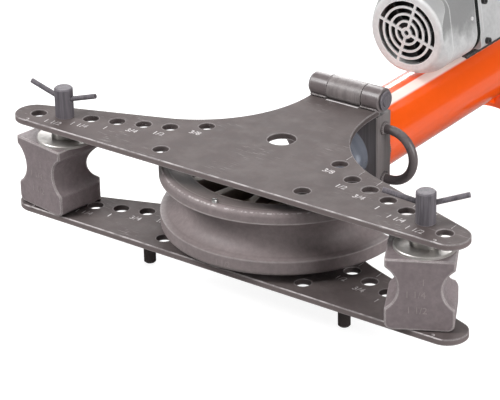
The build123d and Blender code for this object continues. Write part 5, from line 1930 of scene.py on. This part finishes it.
@dataclass
class Studio:
    """Pale floor, soft lights and the camera of the photograph."""

    camera_place: tuple[float, float, float] = (1.5120, -2.2981, 1.3411)
    azimuth: float = 36.8137
    elevation: float = 25.8247
    roll: float = -1.2054
    focal_pixels: float = 2315.5
    picture_width: float = 500.0
    sensor: float = 36.0
    floor_half: float = 7.0
    floor_turn: float = 4.9
    floor_bend: float = 1.6
    floor_steps: int = 10
    wall_height: float = 5.0
    floor_tone: Colour = (0.30, 0.30, 0.30)
    floor_cloud: float = 1.02
    floor_rough: float = 0.85
    floor_glow: float = 0.88
    sky: tuple[float, float] = (0.04, 0.30)
    sky_lean: tuple[float, float, float] = (-0.72, -0.36, 0.60)
    sky_reach: tuple[float, float] = (-0.6, 0.9)
    target: tuple[float, float, float] = (0.0, -0.1, 0.12)
    lamps: tuple[SoftBox, ...] = (
        SoftBox("key_softbox", (-1.45, -1.65, 2.05), 1.2, 84.0),
        SoftBox("back_softbox", (-1.55, 2.85, 1.65), 2.8, 175.0),
        SoftBox("right_softbox", (2.5, -0.5, 1.0), 1.4, 64.0),
        SoftBox("top_softbox", (-0.1, 0.3, 2.9), 1.6, 10.0),
    )

    def build(self) -> None:
        """Builds floor, lights, sky and camera."""
        self.build_floor()
        for lamp in self.lamps:
            lamp.build(Vector(self.target))
        self.build_sky()
        self.build_camera()

    def build_floor(self) -> None:
        """A wide pale sheet that curves up far behind the machine."""
        half, turn, bend = self.floor_half, self.floor_turn, self.floor_bend
        shares = [(i + 1) / self.floor_steps for i in range(self.floor_steps)]
        sweep = [math.radians(QUARTER_TURN * share) for share in shares]
        rows = [(-half, 0.0), (turn, 0.0)]
        rows += [(turn + bend * math.sin(a), bend - bend * math.cos(a)) for a in sweep]
        rows += [(turn + bend, self.wall_height)]
        bm = bmesh.new()
        lines = [[bm.verts.new((side * half, y, z)) for side in (-1, 1)] for y, z in rows]
        for low, high in zip(lines, lines[1:]):
            bm.faces.new((low[0], low[1], high[1], high[0]))
        floor = bpy.data.objects.new("studio_floor", finish_mesh(bm, "studio_floor", smooth_below=60.0))
        bpy.context.scene.collection.objects.link(floor)
        floor.data.materials.append(self.floor_material())

    def floor_material(self) -> bpy.types.Material:
        """Pale matt floor that the camera sees a little brighter than it lights the machine.

        Returns:
            The material.
        """
        swatch = Swatch("pale_floor", EffectShop())
        cloud = swatch.noise(swatch.coordinates("Object"), scale=3.0, detail=3.0, roughness=0.55)
        paler = tuple(part * self.floor_cloud for part in self.floor_tone)
        seen = swatch.add("ShaderNodeLightPath").outputs["Is Camera Ray"]
        glow = swatch.blend(seen, grey(0.0), grey(self.floor_glow))
        swatch.paint({"Base Color": swatch.blend(cloud, self.floor_tone, paler),
                      "Roughness": self.floor_rough, "Emission Color": glow, "Emission Strength": 1.0})
        return swatch.material

    def build_sky(self) -> None:
        """Dim sky that is brighter on the key light's side."""
        world = bpy.data.worlds.new("studio_sky")
        world.use_nodes = True
        sheet = Sheet(world.node_tree)
        lean = sheet.vectors("DOT_PRODUCT", sheet.coordinates("Generated"), self.sky_lean).outputs["Value"]
        dark, light = (grey(level) for level in self.sky)
        tone = sheet.blend(sheet.span(lean, read=self.sky_reach), dark, light)
        sky = sheet.add("ShaderNodeBackground", {"Color": tone})
        sheet.add("ShaderNodeOutputWorld", {"Surface": sky.outputs[0]})
        bpy.context.scene.world = world

    def build_camera(self) -> None:
        """Camera at the photograph's place, with plain tones."""
        turn, tilt, roll = (math.radians(v) for v in (self.azimuth, self.elevation, self.roll))
        back = Vector((math.sin(turn) * math.cos(tilt), -math.cos(turn) * math.cos(tilt), math.sin(tilt)))
        level = Vector((math.cos(turn), math.sin(turn), 0.0))
        right = math.cos(roll) * level + math.sin(roll) * back.cross(level)
        up = back.cross(right)
        data = bpy.data.cameras.new("photo_camera")
        data.sensor_fit = "HORIZONTAL"
        data.sensor_width = self.sensor
        data.lens = self.focal_pixels / self.picture_width * self.sensor
        camera = bpy.data.objects.new("photo_camera", data)
        axes = Matrix((right, up, back)).transposed().to_4x4()
        camera.matrix_world = Matrix.Translation(self.camera_place) @ axes
        bpy.context.scene.collection.objects.link(camera)
        bpy.context.scene.camera = camera
        bpy.context.scene.view_settings.view_transform = "Standard"


def main() -> None:
    """Dresses the machine, adds its small pieces and sets up the studio."""
    logging.basicConfig(level=logging.INFO, format="%(name)s: %(message)s")
    shop = FinishShop()
    for kind in (Wings, YokeAndHinge, RamAndFormer, BlocksAndPins, MotorPump, RearStand):
        LOG.info("building %s", kind.__name__)
        part = kind(shop)
        part.dress()
        part.build()
    Studio().build()


if __name__ == "__main__":
    main()
